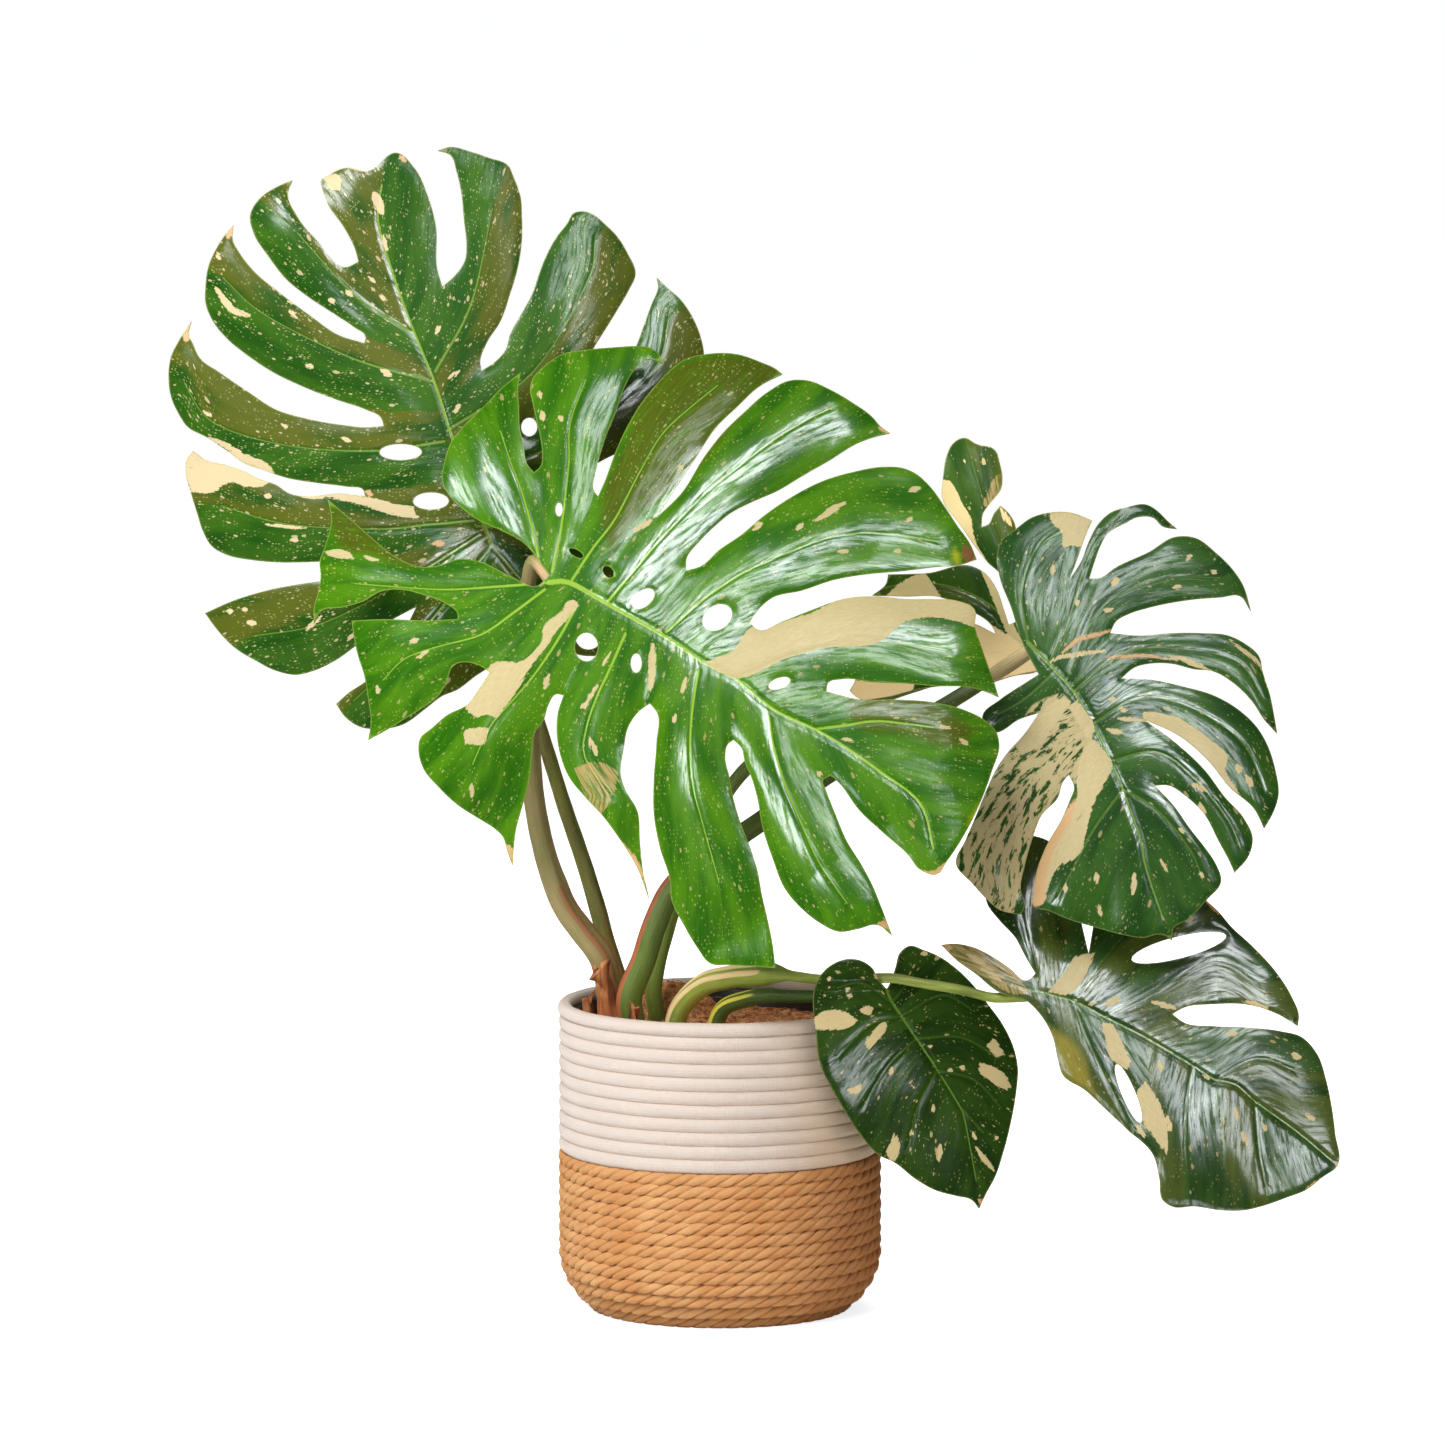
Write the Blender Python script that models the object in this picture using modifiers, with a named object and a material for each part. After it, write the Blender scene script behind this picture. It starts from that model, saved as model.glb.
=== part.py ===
"""A potted, variegated split-leaf climber: six leaves on six stalks, in a nursery pot inside a rope basket.

Metres, +Z up. The origin is the middle of the basket's flat underside, and the plant faces -Y.

Leaves and stalks are drawn in millimetres as they look from the front, to a viewer 7 degrees above the
level: x runs right from the pot's axis and h runs up from the floor. A third number, forward, says how far
a point lies in front of the axis. The function seen() turns the three into a place.
"""

import math

import bmesh
import bpy
from mathutils import Vector
from mathutils.geometry import delaunay_2d_cdt

MM = 0.001
GAP = 0.3
VIEW_SINE = math.sin(math.radians(7))
VIEW_COSINE = math.cos(math.radians(7))

TURN_STEPS = 32
BASKET_HEIGHT = 233.0
BASKET_RADIUS = 120.5
TURN_IN_HEIGHT = 46.0
TURN_IN = 28.0
TURN_IN_POWER = 2.4
COLOUR_CHANGE_HEIGHT = 120.0
ROPE_WALL = 9.0
FLOOR_THICKNESS = 9.0
JUTE_ROWS = 13
COTTON_RINGS = 11
ROW_CREST = 1.0
ROW_GROOVE = 2.4
RIM_ROUNDING = 3.5

POT_WALL = 1.6
POT_TOP = 226.0
POT_FOOT_RADIUS = 84.0
POT_MOUTH_RADIUS = 105.0
POT_LIP = 3.5
POT_LIP_HEIGHT = 8.0
SOIL_EDGE = 213.0
SOIL_CROWN = 217.0
HEAP_PLACE = (-35.0, -45.0)
HEAP_PROFILE = [(0, 240.5), (11, 238.5), (21, 233), (31, 224), (42, 210)]
HEAP_FOOT = 200.0
PIT_DEPTH = 30.0
PIT_SIDES = 16

BLADE_THICKNESS = 1.0
BLADE_GRID = 19.0
EDGE_MARGIN = 7.0
LOBE_REACH = 22.0
FLAT_MIDDLE = 60.0
WAVE_HEIGHT = 2.5
HOLE_SIDES = 8
STALK_STEP = 16.0
SEAT_GAP = 0.5
SEAT_APPROACH = 9.0
SEAT_RADIUS = 7.0
SEAT_TURNS = [math.tau * step / 6 for step in range(6)]
SEAT_MARGIN = 1.2

# Each leaf: where its stalk joins it, how far forward that is, and how it leans to the right and upwards.
# Then, in millimetres, cup is how far it falls back 100 mm from its midrib, arch how far a lobe falls back at
# LOBE_REACH from its vein, droop how far it falls back 100 mm from the stalk, and parting how far its base
# is parted. Its drawing follows: the midrib, the veins, the outline and the holes, each hole an oval of
# (x, h, half its length, half its width, its slant in degrees).
LEAVES = {
    "leaf_back": {
        "junction": (-172, 573),
        "forward": -46,
        "lean": (0.05, -0.24),
        "cup": 8,
        "arch": 4,
        "droop": 1.5,
        "midrib": [(-172, 573), (-201, 652), (-215, 695), (-232, 737), (-247, 778), (-259, 820), (-256, 850)],
        "veins": [
            [(-232, 734), (-277, 764), (-322, 813)],
            [(-215, 697), (-277, 715), (-345, 749), (-379, 779)],
            [(-208, 652), (-262, 645), (-330, 650), (-385, 668), (-408, 700)],
            [(-186, 592), (-221, 589), (-259, 586), (-328, 590), (-380, 605)],
            [(-181, 581), (-240, 545), (-300, 515), (-355, 505)],
            [(-172, 573), (-215, 520), (-262, 470), (-278, 455)],
            [(-215, 705), (-188, 757), (-172, 832)],
            [(-206, 660), (-142, 704), (-101, 772), (-94, 808)],
            [(-194, 622), (-120, 652), (-52, 704), (-38, 749)],
            [(-184, 588), (-120, 584), (-60, 577)],
            [(-172, 573), (-135, 532), (-98, 506)],
        ],
        "outline": [
            (-244, 872), (-268, 858), (-283, 861), (-304, 852), (-298, 834), (-285, 815), (-276, 797),
            (-274, 789), (-282, 785), (-305, 805), (-320, 823), (-328, 843), (-325, 852), (-337, 847),
            (-351, 837), (-357, 826), (-354, 811), (-343, 794), (-328, 775), (-313, 763), (-292, 749),
            (-277, 739), (-268, 731), (-269, 727), (-288, 733), (-310, 748), (-334, 766), (-354, 783),
            (-365, 797), (-370, 806), (-370, 818), (-376, 811), (-383, 800), (-389, 786), (-391, 771),
            (-391, 759), (-386, 746), (-374, 731), (-358, 718), (-340, 706), (-313, 693), (-290, 684),
            (-267, 676), (-256, 670), (-254, 664), (-267, 663), (-286, 665), (-313, 670), (-336, 677),
            (-358, 691), (-380, 706), (-395, 717), (-400, 727), (-404, 737), (-402, 745), (-411, 731),
            (-417, 719), (-419, 700), (-417, 687), (-411, 674), (-405, 665), (-389, 656), (-374, 646),
            (-360, 636), (-346, 631), (-328, 625), (-305, 621), (-282, 618), (-269, 615), (-268, 611),
            (-290, 613), (-313, 611), (-325, 613), (-336, 620), (-350, 625), (-360, 630), (-374, 635),
            (-392, 640), (-400, 646), (-405, 640), (-406, 630), (-402, 615), (-397, 599), (-392, 584),
            (-386, 574), (-374, 567), (-355, 563), (-334, 561), (-313, 561), (-277, 562), (-247, 558),
            (-266, 550), (-301, 547), (-316, 545), (-343, 540), (-370, 532), (-391, 523), (-382, 511),
            (-367, 496), (-352, 487), (-336, 479), (-320, 476), (-310, 478), (-290, 487), (-273, 499),
            (-251, 515), (-229, 527), (-236, 513), (-266, 472), (-281, 462), (-290, 454), (-283, 444),
            (-270, 436), (-262, 435), (-240, 438), (-221, 451), (-209, 460), (-199, 464), (-184, 475),
            (-174, 482), (-165, 502), (-165, 532), (-171, 560), (-165, 550), (-150, 524), (-127, 502),
            (-101, 490), (-82, 494), (-75, 509), (-90, 532), (-124, 562), (-97, 550), (-67, 547),
            (-41, 554), (-39, 577), (-52, 595), (-75, 603), (-105, 603), (-129, 614), (-109, 625),
            (-90, 637), (-78, 643), (-52, 652), (-30, 670), (-15, 697), (-12, 719), (-15, 734),
            (-20, 746), (-29, 760), (-41, 771), (-48, 778), (-47, 771), (-52, 757), (-58, 740),
            (-64, 724), (-79, 703), (-94, 688), (-109, 683), (-105, 704), (-95, 724), (-87, 737),
            (-78, 752), (-69, 768), (-64, 780), (-70, 796), (-78, 809), (-87, 818), (-97, 826),
            (-104, 828), (-112, 826), (-115, 820), (-124, 808), (-132, 793), (-138, 777), (-142, 765),
            (-151, 748), (-159, 733), (-162, 722), (-172, 711), (-180, 706), (-181, 712), (-176, 727),
            (-166, 743), (-159, 763), (-153, 784), (-150, 805), (-150, 823), (-151, 838), (-157, 855),
            (-160, 862), (-176, 869), (-191, 874), (-205, 877), (-214, 874), (-205, 871), (-200, 858),
            (-196, 840), (-194, 820), (-192, 802), (-193, 790), (-200, 779), (-210, 770), (-214, 784),
            (-215, 815), (-221, 838), (-232, 861),
        ],
        "holes": [(-241, 644, 16, 6, 0), (-218, 607, 13.5, 6.4, 0), (-144, 663, 6, 7, 0)],
    },
    "leaf_front": {
        "junction": (-120, 542),
        "forward": 58,
        "lean": (0.08, -0.5),
        "cup": 9,
        "arch": 5,
        "droop": 3,
        "midrib": [
            (-127, 544), (-112, 544), (-85, 529), (-43, 505), (-13, 485), (12, 472), (39, 450), (70, 435),
            (94, 421), (118, 404), (148, 380), (158, 345),
        ],
        "veins": [
            [(-127, 544), (-133, 555), (-139, 581), (-148, 612), (-156, 633), (-165, 660)],
            [(-125, 552), (-119, 581), (-116, 604), (-113, 634), (-112, 665), (-100, 700)],
            [(-110, 546), (-95, 569), (-78, 592), (-60, 627), (-44, 655), (-26, 673), (0, 695)],
            [
                (-84, 529), (-64, 553), (-41, 580), (-10, 612), (8, 627), (35, 650), (61, 667), (76, 676),
                (100, 668),
            ],
            [(-40, 507), (-13, 531), (10, 547), (31, 558), (69, 574), (92, 580), (123, 581), (165, 575)],
            [(12, 472), (48, 488), (79, 496), (118, 500), (170, 492)],
            [(70, 435), (94, 438), (118, 441), (160, 436)],
            [(-127, 544), (-166, 541), (-206, 539), (-252, 542), (-275, 544)],
            [(-130, 539), (-154, 521), (-178, 505), (-211, 496), (-235, 487), (-252, 470)],
            [(-106, 527), (-121, 500), (-138, 475), (-154, 456), (-169, 439), (-178, 421), (-184, 407)],
            [(-70, 506), (-81, 481), (-92, 457), (-99, 435), (-100, 415), (-82, 385)],
            [(-16, 479), (-20, 454), (-22, 424), (-20, 394), (-14, 370), (0, 320)],
            [(36, 444), (39, 424), (48, 394), (61, 363), (74, 335), (95, 305)],
        ],
        "outline": [
            (-127, 550), (-148, 575), (-163, 583), (-182, 592), (-194, 601), (-202, 609), (-208, 621),
            (-207, 634), (-202, 650), (-193, 662), (-179, 676), (-163, 693), (-150, 704), (-152, 691),
            (-151, 679), (-150, 661), (-147, 647), (-144, 633), (-139, 627), (-134, 632), (-133, 639),
            (-135, 655), (-138, 668), (-141, 681), (-143, 691), (-141, 699), (-133, 708), (-118, 718),
            (-100, 721), (-79, 723), (-64, 724), (-53, 723), (-46, 718), (-43, 711), (-55, 714),
            (-64, 706), (-72, 691), (-78, 673), (-84, 658), (-90, 639), (-93, 627), (-94, 613),
            (-91, 609), (-87, 618), (-78, 643), (-70, 661), (-61, 677), (-49, 693), (-37, 706),
            (-26, 714), (-10, 718), (13, 718), (31, 712), (42, 707), (47, 703), (31, 694), (13, 677),
            (-3, 661), (-15, 643), (-34, 614), (-47, 593), (-29, 611), (-11, 640), (2, 657), (18, 673),
            (36, 689), (53, 698), (66, 698), (83, 691), (100, 681), (115, 670), (121, 663), (128, 658),
            (120, 656), (104, 650), (83, 637), (61, 624), (43, 613), (23, 604), (8, 596), (-3, 587),
            (-15, 575), (-25, 561), (-25, 553), (-15, 556), (0, 569), (16, 580), (31, 593), (54, 609),
            (77, 621), (100, 628), (123, 632), (138, 631), (147, 627), (157, 618), (169, 601),
            (178, 587), (187, 574), (192, 562), (181, 558), (161, 556), (138, 553), (107, 550),
            (85, 546), (61, 538), (38, 532), (28, 523), (22, 514), (28, 509), (46, 515), (69, 524),
            (92, 532), (115, 534), (138, 532), (161, 532), (176, 531), (190, 524), (190, 511),
            (194, 498), (199, 483), (204, 469), (207, 459), (197, 463), (185, 466), (159, 467),
            (136, 469), (113, 470), (90, 472), (80, 469), (79, 463), (104, 457), (130, 457),
            (158, 455), (182, 449), (196, 442), (205, 433), (207, 425), (201, 403), (193, 382),
            (182, 360), (167, 337), (160, 328), (148, 331), (138, 343), (121, 358), (102, 376),
            (89, 394), (82, 401), (76, 397), (78, 391), (85, 373), (94, 352), (104, 336), (112, 321),
            (119, 304), (127, 283), (115, 291), (102, 288), (87, 286), (74, 292), (61, 302), (48, 317),
            (39, 339), (31, 364), (28, 382), (24, 397), (18, 412), (16, 421), (10, 427), (6, 424),
            (4, 415), (7, 400), (10, 384), (16, 364), (22, 349), (28, 330), (31, 313), (35, 296),
            (39, 276), (41, 259), (28, 260), (7, 261), (-7, 262), (-17, 274), (-26, 289), (-36, 310),
            (-37, 324), (-44, 346), (-49, 373), (-49, 397), (-47, 425), (-47, 448), (-52, 454),
            (-60, 448), (-68, 436), (-71, 421), (-73, 400), (-70, 391), (-61, 375), (-59, 352),
            (-57, 332), (-52, 308), (-62, 334), (-73, 352), (-86, 370), (-100, 385), (-112, 400),
            (-118, 415), (-121, 436), (-120, 448), (-116, 460), (-121, 461), (-127, 453), (-130, 443),
            (-138, 430), (-139, 420), (-141, 399), (-146, 379), (-151, 361), (-154, 334), (-158, 345),
            (-161, 355), (-167, 361), (-178, 368), (-195, 379), (-208, 391), (-221, 407), (-224, 418),
            (-223, 428), (-214, 436), (-202, 446), (-188, 453), (-178, 466), (-171, 477), (-178, 482),
            (-198, 482), (-203, 470), (-209, 460), (-221, 451), (-237, 441), (-252, 432), (-262, 427),
            (-260, 441), (-262, 457), (-265, 475), (-270, 490), (-274, 508), (-275, 516), (-252, 517),
            (-214, 516), (-195, 517), (-195, 520), (-205, 529), (-221, 535), (-236, 539), (-252, 538),
            (-267, 530), (-282, 526), (-299, 523), (-304, 514), (-304, 526), (-301, 537), (-299, 549),
            (-300, 561), (-296, 573), (-292, 593), (-295, 608), (-274, 590), (-259, 577), (-244, 565),
            (-221, 556), (-210, 557), (-194, 562), (-179, 560), (-156, 549), (-135, 542),
        ],
        "holes": [
            (-120, 599, 2.6, 5.3, 0), (-107, 566, 2.5, 6, 60), (-83, 552, 3.5, 5, 40), (-57, 532, 10, 6, 40),
            (-2, 518, 12, 9, 35), (-99, 496, 8.5, 10.5, 0), (-62, 484, 4, 7, 0), (44, 469, 8.5, 4, 20),
        ],
    },
    "leaf_right": {
        "junction": (232, 498),
        "forward": 15,
        "lean": (0.04, -0.42),
        "cup": 10,
        "arch": 4,
        "droop": 3,
        "midrib": [
            (230, 500), (246, 484), (264, 463), (278, 439), (291, 411), (300, 390), (304, 378), (313, 352),
            (317, 331), (330, 292),
        ],
        "veins": [
            [(230, 502), (226, 540), (240, 575), (262, 590)],
            [(246, 484), (262, 520), (272, 552), (283, 576), (305, 597)],
            [(258, 470), (284, 524), (330, 547), (378, 549)],
            [(264, 463), (300, 492), (345, 495), (388, 485), (408, 455)],
            [(278, 439), (312, 458), (350, 452), (390, 425), (408, 385)],
            [(291, 411), (325, 418), (352, 400), (378, 368), (388, 345)],
            [(300, 390), (325, 375), (350, 345), (360, 320)],
            [(250, 478), (228, 458), (206, 445)],
            [(278, 439), (258, 425), (225, 390), (200, 345), (195, 320)],
            [(300, 390), (278, 360), (262, 330), (250, 308)],
        ],
        "outline": [
            (225, 503), (218, 526), (210, 548), (208, 567), (211, 576), (223, 586), (234, 594),
            (248, 598), (264, 598), (280, 592), (274, 578), (268, 562), (262, 547), (271, 561),
            (277, 576), (285, 590), (294, 598), (306, 602), (322, 604), (330, 599), (337, 592),
            (344, 586), (333, 588), (327, 594), (316, 595), (303, 589), (292, 583), (286, 573),
            (281, 560), (277, 548), (283, 548), (298, 557), (322, 568), (344, 580), (358, 579),
            (373, 568), (385, 556), (393, 544), (399, 524), (391, 535), (377, 534), (354, 532),
            (322, 526), (306, 521), (297, 516), (292, 507), (314, 505), (338, 507), (361, 507),
            (382, 505), (394, 499), (404, 490), (407, 477), (412, 460), (415, 444), (417, 432),
            (408, 441), (398, 456), (385, 469), (370, 478), (354, 480), (338, 484), (322, 484),
            (310, 481), (300, 473), (322, 472), (346, 467), (370, 460), (390, 448), (402, 436),
            (409, 424), (415, 405), (417, 385), (412, 371), (406, 361), (398, 376), (381, 391),
            (364, 412), (343, 430), (317, 442), (341, 424), (362, 404), (376, 385), (391, 368),
            (397, 354), (394, 341), (383, 328), (379, 337), (371, 352), (361, 371), (347, 385),
            (334, 393), (324, 393), (338, 378), (350, 361), (361, 347), (369, 335), (373, 322),
            (362, 308), (347, 293), (337, 287), (336, 278), (330, 282), (313, 280), (296, 283),
            (278, 288), (261, 293), (244, 300), (233, 304), (233, 312), (237, 333), (244, 350),
            (254, 367), (261, 383), (264, 391), (260, 401), (256, 396), (252, 384), (240, 371),
            (233, 354), (227, 333), (224, 316), (227, 304), (223, 297), (217, 298), (209, 300),
            (199, 308), (188, 320), (176, 335), (183, 352), (192, 373), (199, 390), (206, 405),
            (215, 418), (226, 430), (238, 447), (223, 442), (209, 433), (200, 431), (196, 445),
            (209, 457), (227, 469), (238, 476), (232, 487),
        ],
        "holes": [],
    },
    "leaf_far_right": {
        "junction": (232, 496),
        "forward": -52,
        "lean": (0.05, -0.2),
        "cup": 8,
        "arch": 4,
        "droop": 4,
        "midrib": [(232, 496), (220, 510), (205, 528), (180, 541), (150, 546), (120, 541)],
        "veins": [
            [(232, 496), (226, 530), (216, 560), (202, 600), (190, 640)],
            [(232, 496), (205, 494), (160, 490), (110, 470)],
        ],
        "outline": [
            (244, 492), (238, 530), (232, 560), (225, 582), (222, 593), (217, 600), (212, 604),
            (207, 598), (203, 590), (198, 588), (199, 598), (203, 604), (208, 610), (213, 617),
            (214, 624), (212, 637), (209, 646), (205, 649), (198, 650), (193, 652), (186, 656),
            (181, 655), (176, 651), (172, 643), (169, 627), (168, 610), (181, 590), (194, 571),
            (203, 560), (211, 553), (217, 545), (220, 532), (223, 516), (218, 514), (214, 527),
            (209, 541), (199, 554), (191, 558), (157, 553), (127, 552), (126, 546), (115, 536),
            (140, 535), (164, 535), (190, 524), (205, 513), (208, 507), (191, 515), (165, 513),
            (135, 502), (109, 483), (98, 464), (103, 459), (124, 459), (145, 464), (172, 468),
            (205, 470), (222, 475), (239, 478), (247, 482),
        ],
        "holes": [],
    },
    "leaf_low": {
        "junction": (234, 241),
        "forward": 80,
        "lean": (-0.02, -0.58),
        "cup": 5,
        "arch": 3,
        "droop": 4,
        "midrib": [
            (230, 241), (262, 233), (286, 221), (310, 209), (331, 197), (351, 185), (367, 175), (383, 171),
            (397, 159), (430, 135), (455, 114),
        ],
        "veins": [
            [(236, 240), (232, 265), (225, 300), (225, 335)],
            [(262, 233), (285, 262), (320, 300), (348, 315)],
            [(286, 221), (325, 240), (370, 262), (405, 245)],
            [(367, 175), (400, 190), (430, 180)],
            [(234, 241), (205, 256), (180, 268)],
            [(262, 233), (275, 200), (292, 165), (308, 132)],
            [(351, 185), (345, 150), (345, 110)],
            [(397, 159), (400, 120), (405, 95)],
        ],
        "outline": [
            (228, 233), (208, 239), (190, 253), (176, 263), (165, 274), (174, 275), (190, 272),
            (204, 265), (216, 257), (229, 248), (235, 253), (228, 265), (220, 280), (208, 293),
            (200, 304), (199, 322), (210, 344), (232, 355), (255, 345), (266, 322), (270, 292),
            (275, 268), (281, 295), (292, 318), (322, 329), (349, 322), (363, 308), (373, 299),
            (383, 287), (397, 274), (416, 253), (427, 235), (432, 221), (431, 214), (415, 223),
            (391, 230), (367, 230), (347, 228), (337, 223), (345, 217), (367, 214), (391, 213),
            (418, 210), (433, 206), (445, 193), (451, 175), (455, 154), (457, 135), (458, 111),
            (447, 103), (435, 94), (419, 88), (401, 82), (387, 79), (371, 79), (351, 82), (334, 82),
            (328, 86), (325, 103), (321, 119), (301, 139), (286, 153), (271, 167), (254, 179),
            (251, 189), (247, 207), (238, 223),
        ],
        "holes": [(343, 272, 37, 8, 14), (303, 165, 23, 5, 112)],
    },
    "leaf_young": {
        "junction": (125, 236),
        "forward": 100,
        "lean": (-0.42, -0.04),
        "cup": 12,
        "arch": 1,
        "droop": 5,
        "parting": 6,
        "midrib": [(124, 241), (128, 232), (146, 205), (162, 181), (178, 155), (183, 142), (192, 95)],
        "veins": [
            [(128, 232), (105, 247), (86, 243)],
            [(135, 222), (110, 215), (86, 190)],
            [(146, 205), (125, 185), (105, 152)],
            [(162, 181), (148, 155), (140, 122)],
            [(128, 232), (145, 254)],
            [(135, 222), (165, 237), (188, 226)],
            [(146, 205), (180, 205), (210, 188)],
            [(162, 181), (190, 173), (212, 150)],
            [(178, 155), (198, 132)],
        ],
        "outline": [
            (124, 242), (118, 249), (113, 258), (106, 263), (96, 265), (85, 262), (76, 255), (70, 243),
            (69, 227), (71, 211), (74, 187), (83, 168), (94, 149), (106, 131), (118, 118), (130, 112),
            (145, 100), (160, 91), (177, 86), (188, 83), (194, 76), (199, 87), (206, 100), (212, 118),
            (218, 142), (222, 166), (223, 181), (220, 196), (211, 215), (200, 230), (190, 243), (177, 256),
            (163, 266), (151, 271), (141, 274), (134, 269), (131, 259), (128, 249),
        ],
        "holes": [],
    },
}

# Each stalk: the leaf that it carries, the pit (x, forward) in the soil that it stands in, its radii at the
# foot and at the top, and the places (x, h, forward) that it passes on the way. One has a winged sheath, as
# thick as its foot, that ends at the share sheath_end of its length.
STALKS = {
    "petiole_back": {
        "leaf": "leaf_back",
        "pit": (-68, -24),
        "radii": (7.0, 4.0),
        "route": [
            (-78, 250, -24), (-85, 272, -25), (-93, 301, -27), (-103, 335, -31), (-116, 373, -37),
            (-131, 421, -46), (-146, 470, -55), (-160, 520, -62), (-168, 552, -62),
        ],
    },
    "petiole_front": {
        "leaf": "leaf_front",
        "pit": (-79, 12),
        "radii": (10.0, 5.0),
        "route": [
            (-84, 245, 14), (-90, 265, 16), (-105, 285, 18), (-119, 306, 20), (-131, 341, 20),
            (-139, 382, 18), (-142, 425, 15), (-143, 470, 12), (-144, 512, 12), (-143, 545, 20),
            (-137, 560, 32),
        ],
    },
    "petiole_right": {
        "leaf": "leaf_right",
        "pit": (-66, 46),
        "radii": (10.5, 5.0),
        "route": [
            (-68, 235, 46), (-58, 261, 44), (-49, 289, 42), (-35, 317, 38), (-8, 340, 32), (24, 362, 26),
            (79, 400, 14), (130, 430, 4), (178, 459, -4), (208, 478, -8),
        ],
    },
    "petiole_far_right": {
        "leaf": "leaf_far_right",
        "pit": (-48, -6),
        "radii": (6.5, 4.0),
        "route": [
            (-50, 240, -8), (-42, 278, -14), (-24, 330, -26), (13, 398, -44), (60, 432, -62),
            (120, 458, -78), (178, 477, -84), (214, 488, -78),
        ],
    },
    "petiole_low": {
        "leaf": "leaf_low",
        "pit": (-34, 38),
        "radii": (8.5, 3.5),
        "route": [
            (-27, 230, 40), (-11, 244, 48), (8, 249, 60), (26, 251, 70), (46, 252, 77), (73, 249, 86),
            (100, 249, 92.5), (118, 250, 100), (130, 250, 103), (152, 246, 99), (180, 241, 88),
            (204, 235, 74),
        ],
        "sheath_end": 0.36,
    },
    "petiole_young": {
        "leaf": "leaf_young",
        "pit": (-4, 66),
        "radii": (6.8, 3.0),
        "route": [(2, 226, 68), (17, 233, 74), (33, 236, 79), (55, 236, 82), (85, 236, 84), (106, 235, 87)],
    },
}

HUSK_PIT = (-84, 36)
HUSK_WIDTH = 15.0
HUSK_TOP = 268.0
HUSK_THICKNESS = 1.4
HUSK_DEPTH = 15.0
HUSK_PLAY = 0.5

COLOURS = {
    "leaf_light": ((0.10, 0.26, 0.05, 1), 0.3),
    "leaf_dark": ((0.04, 0.11, 0.04, 1), 0.35),
    "stalk": ((0.16, 0.19, 0.06, 1), 0.5),
    "husk": ((0.30, 0.17, 0.08, 1), 0.8),
    "soil": ((0.20, 0.09, 0.04, 1), 0.95),
    "pot": ((0.02, 0.02, 0.02, 1), 0.5),
    "cotton": ((0.78, 0.72, 0.62, 1), 0.9),
    "jute": ((0.50, 0.32, 0.16, 1), 0.9),
}


def seen(x, h, forward):
    """The place, in metres, of a point that the viewer sees at x and h, forward mm before the axis."""
    height = (h + forward * VIEW_SINE) / VIEW_COSINE
    return Vector((x, -forward, height)) * MM


def clear_scene():
    for old in list(bpy.data.objects):
        bpy.data.objects.remove(old, do_unlink=True)


def collection(name):
    made = bpy.data.collections.new(name)
    bpy.context.scene.collection.children.link(made)
    return made


def material(name):
    """The Principled material of this colour, made the first time that it is asked for."""
    if name in bpy.data.materials:
        return bpy.data.materials[name]
    colour, roughness = COLOURS[name]
    made = bpy.data.materials.new(name)
    made.use_nodes = True
    shader = made.node_tree.nodes["Principled BSDF"]
    shader.inputs["Base Color"].default_value = colour
    shader.inputs["Roughness"].default_value = roughness
    shader.inputs["Metallic"].default_value = 0.0
    return made


def add_object(name, data, into, finish):
    made = bpy.data.objects.new(name, data)
    into.objects.link(made)
    made.data.materials.append(material(finish))
    return made


def turned(name, profile, into, finish, closed=False):
    """A turned piece: a profile of (radius, height) that runs down its outer side, in a Screw modifier."""
    shape = bmesh.new()
    points = [shape.verts.new((radius * MM, 0, height * MM)) for radius, height in profile]
    for first, second in zip(points, points[1:]):
        shape.edges.new((first, second))
    if closed:
        shape.edges.new((points[-1], points[0]))
    mesh = bpy.data.meshes.new(name)
    shape.to_mesh(mesh)
    shape.free()
    made = add_object(name, mesh, into, finish)
    screw = made.modifiers.new("Turn", "SCREW")
    screw.axis = "Z"
    screw.steps = TURN_STEPS
    screw.render_steps = TURN_STEPS
    screw.use_merge_vertices = True
    screw.merge_threshold = 0.0001
    return made


def basket_radius(height):
    """The basket's outer radius at a height: upright walls that round in to the flat foot."""
    if height >= TURN_IN_HEIGHT:
        return BASKET_RADIUS
    return BASKET_RADIUS - TURN_IN * (1 - height / TURN_IN_HEIGHT) ** TURN_IN_POWER


def rope_rows(top, bottom, rows):
    """The outer side from top to bottom: each row bulges between two grooves."""
    pitch = (top - bottom) / rows
    side = [(basket_radius(top) - ROW_GROOVE, top)]
    for row in range(rows):
        middle = top - (row + 0.5) * pitch
        groove = top - (row + 1) * pitch
        side.append((basket_radius(middle) + ROW_CREST, middle))
        side.append((basket_radius(groove) - ROW_GROOVE, groove))
    return side


def make_basket(into):
    """Two rope coils, one on the other: tan with the floor below, white above."""
    inner = BASKET_RADIUS - ROPE_WALL
    jute_inside = [
        (0, FLOOR_THICKNESS),
        (basket_radius(FLOOR_THICKNESS) - ROPE_WALL, FLOOR_THICKNESS),
        (inner, TURN_IN_HEIGHT),
        (inner, COLOUR_CHANGE_HEIGHT),
    ]
    jute_side = rope_rows(COLOUR_CHANGE_HEIGHT, 0, JUTE_ROWS)
    turned("basket_jute", jute_inside + jute_side + [(0, 0)], into, "jute")
    cotton_foot = COLOUR_CHANGE_HEIGHT + GAP
    cotton_side = rope_rows(BASKET_HEIGHT, cotton_foot, COTTON_RINGS)
    cotton_inside = [
        (inner, cotton_foot),
        (inner, BASKET_HEIGHT - RIM_ROUNDING),
        (inner + RIM_ROUNDING, BASKET_HEIGHT),
    ]
    turned("basket_cotton", cotton_side + cotton_inside, into, "cotton", closed=True)


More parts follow.
